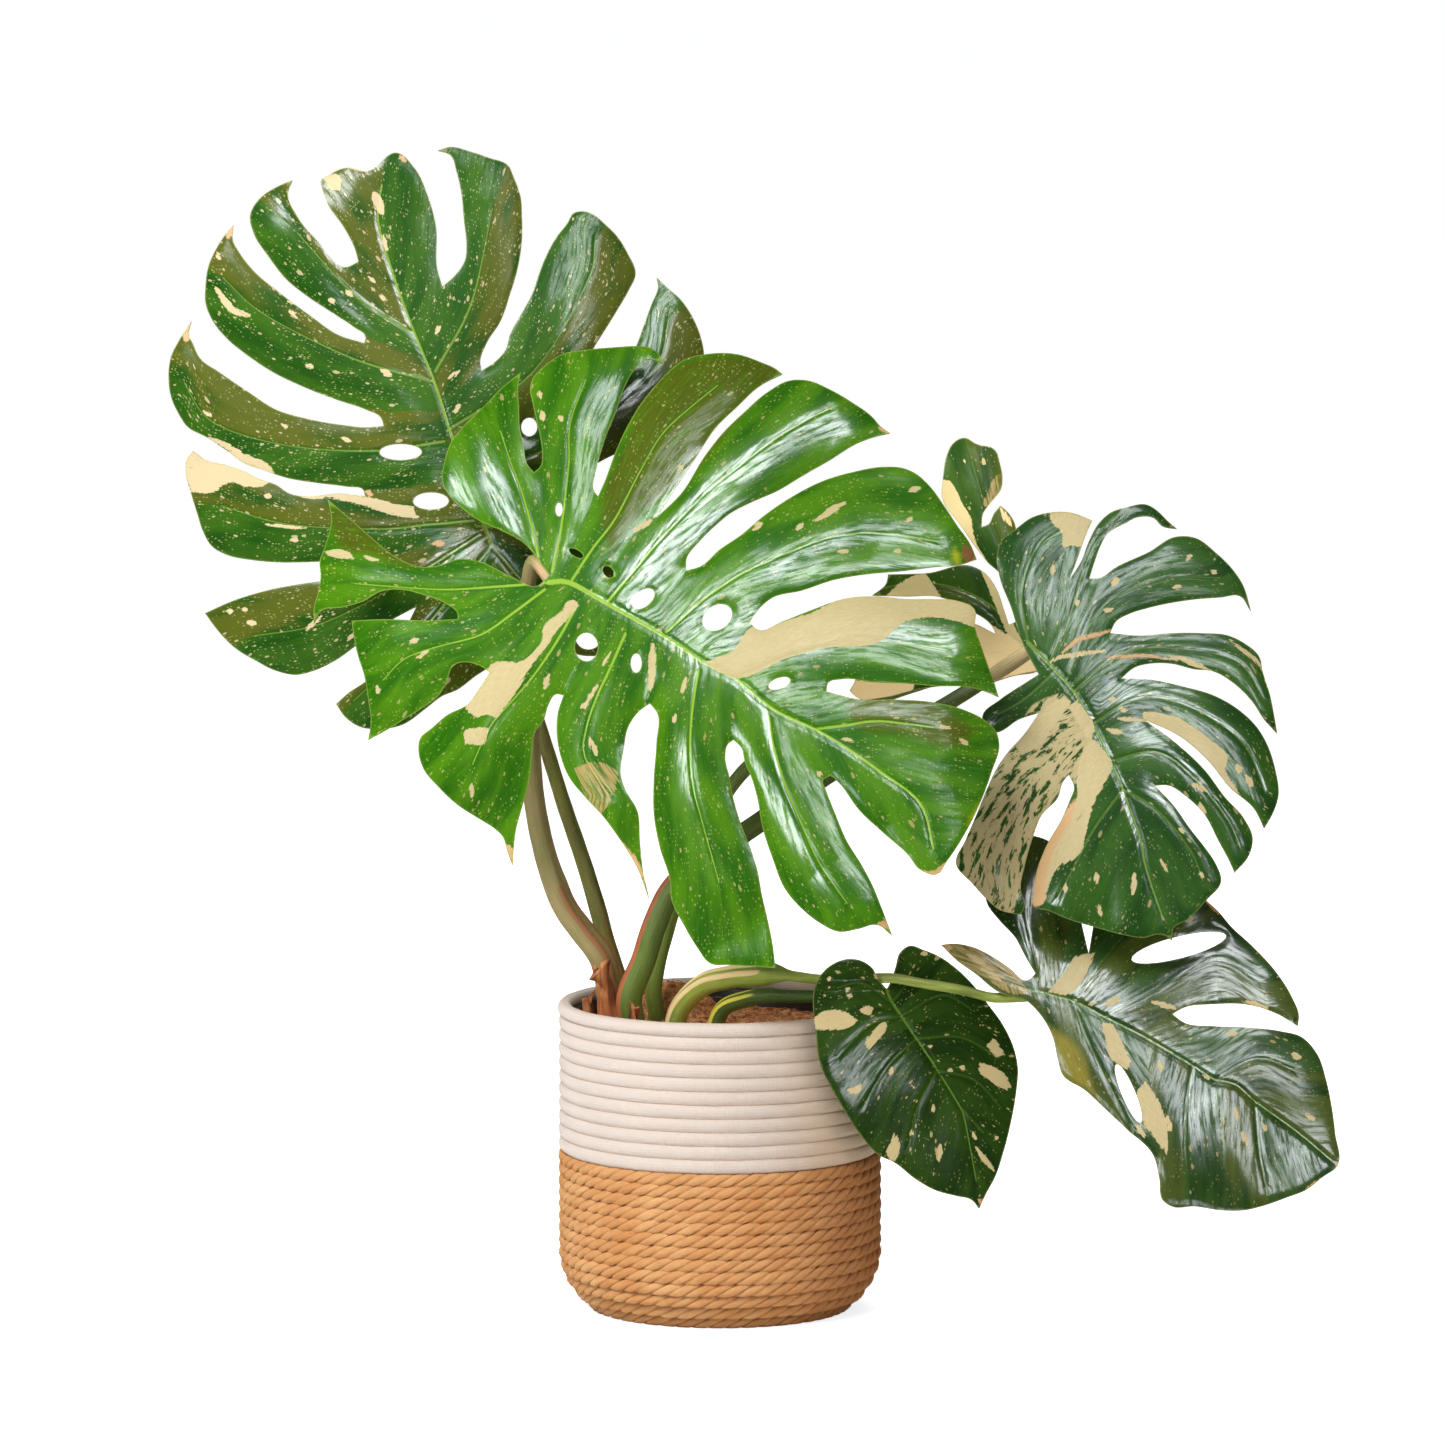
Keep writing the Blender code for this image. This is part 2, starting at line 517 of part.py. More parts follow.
def pot_radius(height):
    """The nursery pot's inner radius at a height, from its foot to its mouth."""
    share = (height - FLOOR_THICKNESS) / (POT_TOP - FLOOR_THICKNESS)
    return POT_FOOT_RADIUS + (POT_MOUTH_RADIUS - POT_FOOT_RADIUS) * share


def make_pot(into):
    bottom = FLOOR_THICKNESS + GAP
    floor = bottom + POT_WALL
    lip_foot = POT_TOP - POT_LIP_HEIGHT
    hollow = [(0, floor), (pot_radius(floor), floor), (POT_MOUTH_RADIUS, POT_TOP)]
    lip = [
        (POT_MOUTH_RADIUS + POT_LIP, POT_TOP),
        (POT_MOUTH_RADIUS + POT_LIP, lip_foot),
        (pot_radius(lip_foot) + POT_WALL, lip_foot),
    ]
    foot = [(pot_radius(bottom) + POT_WALL, bottom), (0, bottom)]
    turned("nursery_pot", hollow + lip + foot, into, "pot")


def combine(soil, helper, operation):
    """Join a hidden helper to the soil, or cut it out."""
    helper.hide_render = True
    helper.display_type = "WIRE"
    change = soil.modifiers.new(helper.name, "BOOLEAN")
    change.operation = operation
    change.object = helper
    change.solver = "EXACT"


def cut_pit(soil, name, into):
    """Cut the object just added out of the soil, and keep it hidden under this name."""
    cutter = bpy.context.object
    cutter.name = name
    for old in list(cutter.users_collection):
        old.objects.unlink(cutter)
    into.objects.link(cutter)
    combine(soil, cutter, "DIFFERENCE")


def soil_height(share):
    """The height of the domed soil at this share of the way from its middle to the pot's wall."""
    return SOIL_CROWN + (SOIL_EDGE - SOIL_CROWN) * share ** 2


def soil_level(x, forward):
    return soil_height(min(math.hypot(x, forward) / pot_radius(SOIL_EDGE), 1.0))


def make_soil(into, cutters):
    """The soil fills the pot and is heaped behind the stalks. Each foot, and the husk's, has a plain pit."""
    bottom = FLOOR_THICKNESS + GAP + POT_WALL + GAP
    play = GAP + 0.1
    edge = pot_radius(SOIL_EDGE) - play
    top = [(edge * share, soil_height(share)) for share in (0, 0.4, 0.8, 1)]
    soil = turned("soil", top + [(pot_radius(bottom) - play, bottom), (0, bottom)], into, "soil")
    heap = turned("heap", HEAP_PROFILE + [(HEAP_PROFILE[-1][0], HEAP_FOOT), (0, HEAP_FOOT)], cutters, "soil")
    heap.location = Vector((HEAP_PLACE[0], -HEAP_PLACE[1], 0)) * MM
    combine(soil, heap, "UNION")
    for name, stalk in STALKS.items():
        x, forward = stalk["pit"]
        radius = (stalk["radii"][0] + GAP) / math.cos(math.pi / PIT_SIDES) + 0.1
        bpy.ops.mesh.primitive_cylinder_add(
            vertices=PIT_SIDES,
            radius=radius * MM,
            depth=2 * PIT_DEPTH * MM,
            location=Vector((x, -forward, SOIL_CROWN)) * MM,
        )
        cut_pit(soil, "pit_" + name, cutters)
    x, forward = HUSK_PIT
    bpy.ops.mesh.primitive_cube_add(size=1, location=Vector((x, -forward, SOIL_CROWN)) * MM)
    sides = (HUSK_WIDTH + 2 * HUSK_PLAY, HUSK_THICKNESS + 2 * HUSK_PLAY, 2 * HUSK_DEPTH)
    bpy.context.object.scale = Vector(sides) * MM
    cut_pit(soil, "pit_husk", cutters)


def to_segment(point, start, end):
    """The distance from a point to a straight stretch, all in the drawing."""
    along = end - start
    share = (point - start).dot(along) / along.length_squared
    share = min(max(share, 0.0), 1.0)
    return (point - start - along * share).length


def to_line(point, line):
    return min(to_segment(point, start, end) for start, end in zip(line, line[1:]))


def drawing(points):
    return [Vector((x, h)) for x, h in points]


def blade_forward(leaf, x, h):
    """How far forward the blade's upper face lies. It leans, falls back from its midrib and from each vein,
    droops away from the stalk, is gently waved, and may be parted: left of the notch forward, right of it
    back."""
    point = Vector((x, h))
    across, up = x - leaf["junction"][0], h - leaf["junction"][1]
    from_stalk = math.hypot(across, up)
    from_midrib = to_line(point, drawing(leaf["midrib"]))
    from_vein = min(to_line(point, drawing(vein)) for vein in leaf["veins"] + [leaf["midrib"]])
    forward = leaf["forward"] + leaf["lean"][0] * across + leaf["lean"][1] * up
    forward -= leaf["cup"] * (from_midrib / 100) ** 2
    forward -= leaf["arch"] * min(from_vein / LOBE_REACH, 1.6) ** 2 * min(from_midrib / FLAT_MIDDLE, 1)
    forward -= leaf["droop"] * (from_stalk / 100) ** 2
    wave = math.sin(across / 27 + 0.6) * math.cos(up / 33)
    forward += WAVE_HEIGHT * wave * min(from_stalk / 90, 1)
    parted = math.tanh(-across / 4) * min(max((up - 6) / 6, 0), 1)
    return forward + leaf.get("parting", 0) * parted


def inside(point, loop):
    """Whether a point of the drawing lies inside a closed loop."""
    within = False
    for first, second in zip(loop, loop[1:] + loop[:1]):
        if (first.y > point.y) != (second.y > point.y):
            crossing = first.x + (point.y - first.y) / (second.y - first.y) * (second.x - first.x)
            if point.x < crossing:
                within = not within
    return within


def oval(hole):
    """The points round a hole, given as x, h, half its length, half its width and its slant in degrees."""
    x, h, half_length, half_width, slant = hole
    turn = math.radians(slant)
    points = []
    for step in range(HOLE_SIDES):
        angle = math.tau * step / HOLE_SIDES
        along, beside = half_length * math.cos(angle), half_width * math.sin(angle)
        points.append(Vector((
            x + along * math.cos(turn) - beside * math.sin(turn),
            h + along * math.sin(turn) + beside * math.cos(turn),
        )))
    return points


def blade_points(leaf, loops):
    """Points inside the blade: round the stalk's seat, along its veins and on an even grid."""
    wanted = []
    for vein in [leaf["midrib"]] + leaf["veins"]:
        wanted += drawing(vein)
    xs = [point.x for point in loops[0]]
    hs = [point.y for point in loops[0]]
    row = 0
    h = min(hs)
    while h < max(hs):
        x = min(xs) + BLADE_GRID * 0.5 * (row % 2)
        while x < max(xs):
            wanted.append(Vector((x, h)))
            x += BLADE_GRID
        h += BLADE_GRID * 0.866
        row += 1
    middle = Vector(leaf["junction"])
    ring = [middle + SEAT_RADIUS * Vector((math.cos(turn), math.sin(turn))) for turn in SEAT_TURNS]
    kept = [point for point in [middle] + ring if inside(point, loops[0])]
    kept = [point for point in kept if to_line(point, loops[0] + loops[0][:1]) > SEAT_MARGIN]
    for point in wanted:
        if not inside(point, loops[0]) or any(inside(point, loop) for loop in loops[1:]):
            continue
        if min(to_line(point, loop + loop[:1]) for loop in loops) < EDGE_MARGIN:
            continue
        if any((point - other).length < BLADE_GRID * 0.5 for other in kept):
            continue
        kept.append(point)
    return kept


def make_leaf(name, leaf, into):
    """A thin blade: its drawing filled with triangles, bent to shape, then given its thickness backwards."""
    loops = [drawing(leaf["outline"])] + [oval(hole) for hole in leaf["holes"]]
    points = []
    edges = []
    for loop in loops:
        start = len(points)
        points += loop
        edges += [(start + step, start + (step + 1) % len(loop)) for step in range(len(loop))]
    points += blade_points(leaf, loops)
    filled = delaunay_2d_cdt(points, edges, [], 0, 0.0001, False)
    corners, triangles = filled[0], filled[2]
    shape = bmesh.new()
    placed = [shape.verts.new(seen(p.x, p.y, blade_forward(leaf, p.x, p.y))) for p in corners]
    for triangle in triangles:
        middle = sum((corners[index] for index in triangle), Vector((0, 0))) / 3
        if inside(middle, loops[0]) and not any(inside(middle, loop) for loop in loops[1:]):
            shape.faces.new([placed[index] for index in triangle])
    loose = [vertex for vertex in shape.verts if not vertex.link_faces]
    bmesh.ops.delete(shape, geom=loose, context="VERTS")
    bmesh.ops.recalc_face_normals(shape, faces=shape.faces)
    if sum(face.normal.y * face.calc_area() for face in shape.faces) > 0:
        bmesh.ops.reverse_faces(shape, faces=shape.faces)
    mesh = bpy.data.meshes.new(name)
    shape.to_mesh(mesh)
    shape.free()
    finish = "leaf_light" if name == "leaf_front" else "leaf_dark"
    made = add_object(name, mesh, into, finish)
    thick = made.modifiers.new("Thickness", "SOLIDIFY")
    thick.thickness = BLADE_THICKNESS * MM
    thick.offset = -1
    thick.use_even_offset = False
    return made


def blade_seat(leaf, depth):
    """The place depth mm behind the blade's face at the junction, square to the blade."""
    x, h = leaf["junction"]
    reach = 2.0
    here = seen(x, h, blade_forward(leaf, x, h))
    right = seen(x + reach, h, blade_forward(leaf, x + reach, h)) - here
    up = seen(x, h + reach, blade_forward(leaf, x, h + reach)) - here
    out = right.cross(up).normalized()
    return here - out * depth * MM


def smooth_route(foot, places, every):
    """A straight foot, then points every so many metres along a smooth curve through the places."""
    ends = [foot] + places + [places[-1] * 2 - places[-2]]
    route = [foot, places[0]]
    for before, start, end, after in zip(ends, ends[1:], ends[2:], ends[3:]):
        steps = max(1, round((end - start).length / every))
        for step in range(1, steps + 1):
            t = step / steps
            pull = (end - before) * t + (before * 2 - start * 5 + end * 4 - after) * t ** 2
            route.append(start + 0.5 * (pull + (start * 3 - before - end * 3 + after) * t ** 3))
    return route


def make_stalk(name, stalk, into):
    """A stalk: upright in its pit, along its route, then square on to the back of its blade."""
    leaf = LEAVES[stalk["leaf"]]
    x, forward = stalk["pit"]
    foot = Vector((x, -forward, SOIL_CROWN - PIT_DEPTH + GAP)) * MM
    places = [Vector((x, -forward, soil_level(x, forward) + 3)) * MM]
    places += [seen(*place) for place in stalk["route"]]
    places.append(blade_seat(leaf, BLADE_THICKNESS + SEAT_GAP + SEAT_APPROACH))
    places.append(blade_seat(leaf, BLADE_THICKNESS + SEAT_GAP))
    route = smooth_route(foot, places, STALK_STEP * MM)
    curve = bpy.data.curves.new(name, "CURVE")
    curve.dimensions = "3D"
    curve.bevel_depth = MM
    curve.bevel_resolution = 2
    curve.use_fill_caps = True
    line = curve.splines.new("POLY")
    line.points.add(len(route) - 1)
    thick, thin = stalk["radii"]
    sheath_end = stalk.get("sheath_end")
    for index, place in enumerate(route):
        share = index / (len(route) - 1)
        radius = thick + (thin - thick) * share
        if sheath_end:
            radius = thick if share < sheath_end else thin + 0.5 * (1 - share)
        line.points[index].co = (*place, 1)
        line.points[index].radius = radius
    return add_object(name, curve, into, "stalk")


def make_husk(into):
    """The dried sheath: a strip that curls across its width, narrows and leans outwards as it rises."""
    x, forward = HUSK_PIT
    shape = bmesh.new()
    bmesh.ops.create_grid(shape, x_segments=6, y_segments=10, size=0.5)
    foot = SOIL_CROWN - HUSK_DEPTH + HUSK_PLAY
    in_pit = 0.35
    for vertex in shape.verts:
        across, up = vertex.co.x, vertex.co.y + 0.5
        above = max(0.0, up - in_pit) / (1 - in_pit)
        width = HUSK_WIDTH * (1 - 0.45 * above)
        curl_back = 28 * across ** 2 * min(above * 3, 1)
        lean_left, lean_forward = 7 * above ** 2, 5 * above ** 2
        height = foot + (HUSK_TOP - foot) * up
        place = (x + across * width - lean_left, curl_back - forward - lean_forward, height)
        vertex.co = Vector(place) * MM
    mesh = bpy.data.meshes.new("husk")
    shape.to_mesh(mesh)
    shape.free()
    made = add_object("husk", mesh, into, "husk")
    thick = made.modifiers.new("Thickness", "SOLIDIFY")
    thick.thickness = HUSK_THICKNESS * MM
    thick.offset = 0


def main():
    clear_scene()
    plant = collection("potted_plant")
    cutters = collection("cutters")
    make_basket(plant)
    make_pot(plant)
    make_soil(plant, cutters)
    make_husk(plant)
    for name, leaf in LEAVES.items():
        make_leaf(name, leaf, plant)
    for name, stalk in STALKS.items():
        make_stalk(name, stalk, plant)


main()
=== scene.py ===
# %% [markdown]
# A potted climber with split, cream-marked leaves
#
# The plant stands in a black nursery pot inside a two-tone rope basket. Each leaf is a thin blade with
# sunken veins, on a fleshy stalk that rises out of the potting mix. All but the youngest have deep cuts. The
# basket is coiled from two ropes: twisted tan rope below and smooth knitted white rope above.
#
# The lesson begins with the camera and the stage. Then come the blades, the stalks, the basket, the pot with
# its soil and the dried husk, and each finish follows the pieces that wear it.

# %% Load the fixed frame
import math
import random

import bmesh
import bpy
import numpy as np
from mathutils import Matrix, Vector, noise
from mathutils.geometry import delaunay_2d_cdt
from mathutils.kdtree import KDTree


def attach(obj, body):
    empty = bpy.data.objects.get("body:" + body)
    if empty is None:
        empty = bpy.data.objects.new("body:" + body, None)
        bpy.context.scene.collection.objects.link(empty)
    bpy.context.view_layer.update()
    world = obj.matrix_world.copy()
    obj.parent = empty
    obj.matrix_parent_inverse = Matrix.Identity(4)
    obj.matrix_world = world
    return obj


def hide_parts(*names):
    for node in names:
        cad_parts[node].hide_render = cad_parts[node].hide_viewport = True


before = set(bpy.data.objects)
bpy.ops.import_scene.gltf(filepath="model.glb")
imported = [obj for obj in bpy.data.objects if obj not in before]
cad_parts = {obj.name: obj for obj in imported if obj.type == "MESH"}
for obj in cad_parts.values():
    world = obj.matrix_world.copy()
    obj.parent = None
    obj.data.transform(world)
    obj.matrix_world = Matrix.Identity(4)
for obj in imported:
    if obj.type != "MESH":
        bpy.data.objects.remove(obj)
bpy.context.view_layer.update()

MM = 0.001

# %% [markdown]
# The viewer's drawing
#
# The leaves are drawn as the viewer sees them, 7 degrees above the level: x runs right and h runs up, both
# in millimetres. A third number, forward, says how far a point lies in front of the pot's axis. Drawing in
# the view keeps each outline true to life, and the third number gives the plant its depth. The other way
# would be to draw each leaf flat and turn it into place, but then every outline has to be un-squashed first.

# %% From the drawing to a place
VIEW_TILT = math.radians(7)
VIEW_SINE, VIEW_COSINE = math.sin(VIEW_TILT), math.cos(VIEW_TILT)


def seen(x, h, forward):
    """The place, in metres, of a point seen at x and h, forward mm before the axis."""
    height = (h + forward * VIEW_SINE) / VIEW_COSINE
    return Vector((x, -forward, height)) * MM


print("a point level with the rim:", seen(0, 231, 0))

# %% [markdown]
# The camera
#
# A long lens from far away keeps the leaves that reach forward from looking larger than those behind, as in
# the photograph. A short lens close by would do the opposite. The camera stands on the line of sight,
# 7 degrees above the level, and the view takes in 1.08 m each way.

# %% Set the camera
def add_object(name, data):
    """An object for some data, unturned, at the origin."""
    made = bpy.data.objects.new(name, data)
    bpy.context.scene.collection.objects.link(made)
    return made


FRAME_WIDTH = 1.08375
LENS, SENSOR = 250.0, 36.0
CAMERA_DISTANCE = FRAME_WIDTH * LENS / SENSOR
AIM = seen(1.9, 440, 0)

camera_data = bpy.data.cameras.new("camera")
camera_data.lens, camera_data.sensor_width = LENS, SENSOR
camera_data.clip_end = 50
camera = add_object("camera", camera_data)
camera.location = AIM + CAMERA_DISTANCE * Vector((0, -VIEW_COSINE, VIEW_SINE))
camera.rotation_euler = (math.radians(90) - VIEW_TILT, 0, 0)
bpy.context.scene.camera = camera
print("the camera stands", round(CAMERA_DISTANCE, 2), "m away")

# %% [markdown]
# Wiring a material
#
# A material is a small network. Helpers keep the wiring short: one adds any node, and the others add the
# nodes used most, such as a sum or product, a mix of two colours, a soft step and a noise.

# %% Helpers for node trees
def feed(tree, socket, value):
    """Give a socket a wire or a value, or leave it as it is when there is neither."""
    if isinstance(value, bpy.types.NodeSocket):
        tree.links.new(value, socket)
    elif value is not None:
        socket.default_value = value


def feed_all(tree, sockets, values):
    """Feed sockets by their labels."""
    for label, value in values.items():
        feed(tree, sockets[label], value)


def add(tree, kind, *inputs, **settings):
    """Add a node. Settings go by name and inputs in order."""
    made = tree.nodes.new(kind)
    for name, value in settings.items():
        setattr(made, name, value)
    for socket, value in zip(made.inputs, inputs):
        feed(tree, socket, value)
    return made


def figure(tree, operation, first, second=0.0):
    """A sum, product or other figure of one or two values."""
    return add(tree, "ShaderNodeMath", first, second, operation=operation).outputs[0]


def times(tree, first, second):
    return figure(tree, "MULTIPLY", first, second)


def plus(tree, first, second):
    return figure(tree, "ADD", first, second)


def minus(tree, first, second):
    return figure(tree, "SUBTRACT", first, second)


def step(tree, value, low, high, start=0.0, end=1.0):
    """A soft step: start where the value is under low, end where it is over high."""
    made = add(tree, "ShaderNodeMapRange", value, low, high, start, end, interpolation_type="SMOOTHSTEP")
    return made.outputs[0]


def mix(tree, share, first, second, how="MIX"):
    """One colour laid over another by a share."""
    made = tree.nodes.new("ShaderNodeMix")
    made.data_type, made.blend_type = "RGBA", how
    for number, value in ((0, share), (6, first), (7, second)):
        feed(tree, made.inputs[number], value)
    return made.outputs[2]


def grain(tree, vector, scale, detail=2.0, roughness=0.5):
    """A noise between 0 and 1."""
    made = add(tree, "ShaderNodeTexNoise", vector, None, scale, detail, roughness)
    return made.outputs["Fac"]


def stretch(tree, vector, x, y, z):
    """The same place with each direction scaled."""
    return add(tree, "ShaderNodeVectorMath", vector, (x, y, z), operation="MULTIPLY").outputs[0]


def long_grain(tree, vector, scales, detail=2.0, roughness=0.5):
    """A noise with a scale of its own in each direction, so that it can run in fibres."""
    return grain(tree, stretch(tree, vector, *scales), 1.0, detail, roughness)


def split(tree, vector):
    """The three parts of a place or colour."""
    return add(tree, "ShaderNodeSeparateXYZ", vector).outputs


def stored(tree, name):
    """Three numbers that the mesh carries."""
    return add(tree, "ShaderNodeAttribute", attribute_name=name).outputs["Vector"]


def new_material(name):
    """A material with its Principled shader, its tree and its Object coordinates."""
    made = bpy.data.materials.new(name)
    made.use_nodes = True
    tree = made.node_tree
    shader = tree.nodes["Principled BSDF"]
    here = tree.nodes.new("ShaderNodeTexCoord").outputs["Object"]
    return made, tree, shader, here


def bump(tree, shader, height, depth, strength=1.0):
    """Raise the surface by a height between 0 and 1 times a depth in metres."""
    made = add(tree, "ShaderNodeBump", strength, depth)
    tree.links.new(height, made.inputs["Height"])
    tree.links.new(made.outputs[0], shader.inputs["Normal"])


def new_group(name, takes, gives):
    """An empty node group with the labels of its inputs and outputs under each kind, and its end nodes."""
    group = bpy.data.node_groups.new(name, "ShaderNodeTree")
    for way, sockets in (("INPUT", takes), ("OUTPUT", gives)):
        for kind, labels in sockets.items():
            for label in labels:
                group.interface.new_socket(name=label, in_out=way, socket_type="NodeSocket" + kind)
    return group, group.nodes.new("NodeGroupInput").outputs, group.nodes.new("NodeGroupOutput").inputs


def place_group(tree, group, values):
    """Put a group into a material, with its own values."""
    made = tree.nodes.new("ShaderNodeGroup")
    made.node_tree = group
    feed_all(tree, made.inputs, values)
    return made.outputs


def srgb(red, green, blue):
    """A colour as seen on a screen, 0 to 255, in the linear numbers that a shader wants."""
    def linear(value):
        share = value / 255
        return share / 12.92 if share <= 0.04045 else ((share + 0.055) / 1.055) ** 2.4
    return (linear(red), linear(green), linear(blue), 1)


print("helpers ready")

# %% [markdown]
# The stage
#
# The plant was shot against plain white, with no horizon. The room behind is white to the camera, dim and
# warm to the plant, and dark where it is mirrored, or its reflection would turn every dark leaf grey. The
# floor glows a little for the camera in the same way, so that it meets the white without an edge and keeps a
# faint shadow. A seamless curved backdrop would do as well, but it would throw its light on the leaves.

# %% Floor and world
FLOOR_COLOUR = srgb(250, 250, 250)
FLOOR_HALF_WIDTH = 30.0
FLOOR_GLOW = (0.72, 0.765, 0.81, 1)
ROOM_LIGHT = (0.30, 0.255, 0.205, 1)
ROOM_MIRRORED = (0.05, 0.05, 0.05, 1)


def to_mesh(name, shape):
    """Turn a drawn shape into a mesh and let the drawing go."""
    mesh = bpy.data.meshes.new(name)
    shape.to_mesh(mesh)
    shape.free()
    return mesh


floor_shape = bmesh.new()
bmesh.ops.create_grid(floor_shape, x_segments=8, y_segments=8, size=FLOOR_HALF_WIDTH)
floor = add_object("floor", to_mesh("floor", floor_shape))
floor_material, tree, shader, here = new_material("pale_floor")
floor_colour = mix(tree, grain(tree, here, 0.6), FLOOR_COLOUR, srgb(247, 247, 247))
ray = tree.nodes.new("ShaderNodeLightPath").outputs
feed_all(tree, shader.inputs, {
    "Base Color": mix(tree, ray["Is Glossy Ray"], floor_colour, ROOM_MIRRORED),
    "Emission Color": mix(tree, ray["Is Camera Ray"], (0, 0, 0, 1), FLOOR_GLOW),
    "Emission Strength": 1.0, "Roughness": 0.9, "Specular IOR Level": 0.1,
})
floor.data.materials.append(floor_material)

world = bpy.data.worlds.new("white_room")
bpy.context.scene.world = world
world.use_nodes = True
tree = world.node_tree
backdrop = tree.nodes["Background"]
ray = tree.nodes.new("ShaderNodeLightPath").outputs
room = mix(tree, ray["Is Glossy Ray"], ROOM_LIGHT, ROOM_MIRRORED)
room = mix(tree, ray["Is Camera Ray"], room, (1, 1, 1, 1))
tree.links.new(room, backdrop.inputs[0])
print("the floor reaches", FLOOR_HALF_WIDTH, "m each way")

# %% [markdown]
# The light
#
# Two kinds of softbox hang here. The first kind lights the plant and is kept out of the gloss. The second
# kind is only mirrored: each hangs where one part of the leaves would mirror a window, which gives the long
# white patches their places without washing out the green. One large lamp for both would be simpler, but its
# mirror image falls on the flat middle of every leaf and leaves the tilted lobes without a shine.

# %% Softboxes to light the plant
ROOM_CENTRE = Vector((0, 0, 0.5))
WARM, COOL = (1.0, 0.68, 0.42), (0.92, 0.96, 1.0)


def softbox(name, place, wide, high, watts, colour=(1, 1, 1), aim=ROOM_CENTRE):
    """An area light at a place, turned to what it lights and never seen itself."""
    data = bpy.data.lights.new(name, "AREA")
    data.shape, data.size, data.size_y, data.energy = "RECTANGLE", wide, high, watts
    data.color = colour
    made = add_object(name, data)
    made.location = place
    made.rotation_euler = (aim - Vector(place)).to_track_quat("-Z", "Y").to_euler()
    made.visible_camera = False
    return made


LAMPS = {
    "key": ((-1.25, -1.6, 2.5), 2.0, 1.1, 98), "fill": ((-1.7, -2.4, 0.9), 1.2, 0.9, 14),
    "side": ((2.0, -1.9, 1.0), 0.5, 0.8, 6, WARM), "back": ((0.3, 2.2, 2.2), 1.6, 1.0, 22),
}
for name, values in LAMPS.items():
    softbox(name, *values).visible_glossy = False
print("softboxes that light:", len(LAMPS))

# %% Softboxes that are only mirrored
# Each is given by its height above the level and its turn to the right, in degrees, then its width and
# height in metres.
SHINE_DISTANCE, SHINE_RADIANCE = 2.4, 13.0
SHINES = {
    "shine_top": (66, 35, 1.2, 0.85), "shine_front": (54, 3, 0.8, 0.55), "shine_left": (46, -57, 0.7, 0.75),
    "shine_right": (43, 24, 0.8, 0.75), "shine_low": (19, -20, 0.8, 0.5),
    "shine_low_right": (31, 33, 0.65, 0.55),
}
for name, (rise, turn, wide, high) in SHINES.items():
    rise, turn = math.radians(rise), math.radians(turn)
    way = Vector((math.cos(rise) * math.sin(turn), -math.cos(rise) * math.cos(turn), math.sin(rise)))
    watts = SHINE_RADIANCE * math.pi * wide * high
    softbox(name, ROOM_CENTRE + SHINE_DISTANCE * way, wide, high, watts, COOL).visible_diffuse = False
# The young leaf hangs face down, so its light comes off a card that lies before it.
card = softbox("card", (0.35, -0.47, 0.06), 0.22, 0.08, 0.28, COOL, Vector((0.13, -0.1, 0.17)))
card.visible_diffuse = False
print("softboxes that only shine:", len(SHINES))

# %% [markdown]
# The leaves, as drawn
#
# Every leaf has its own drawing, because no two leaves of such a plant are alike: the midrib, the veins that
# run out into the lobes, the outline and the inner holes. Seven more numbers say how it stands in the room.
# One generic leaf, bent six ways, would be shorter, but it would look stamped.
#
# Each hole is an oval: x, h, half its length, half its width and its slant in degrees. Cup is how far the
# blade falls back 100 mm from its midrib, arch how far a lobe falls back at LOBE_REACH from its vein, droop
# how far it falls back 100 mm from the stalk, and parting how far its base is parted. The points of a line
# are given as x and h in turn.

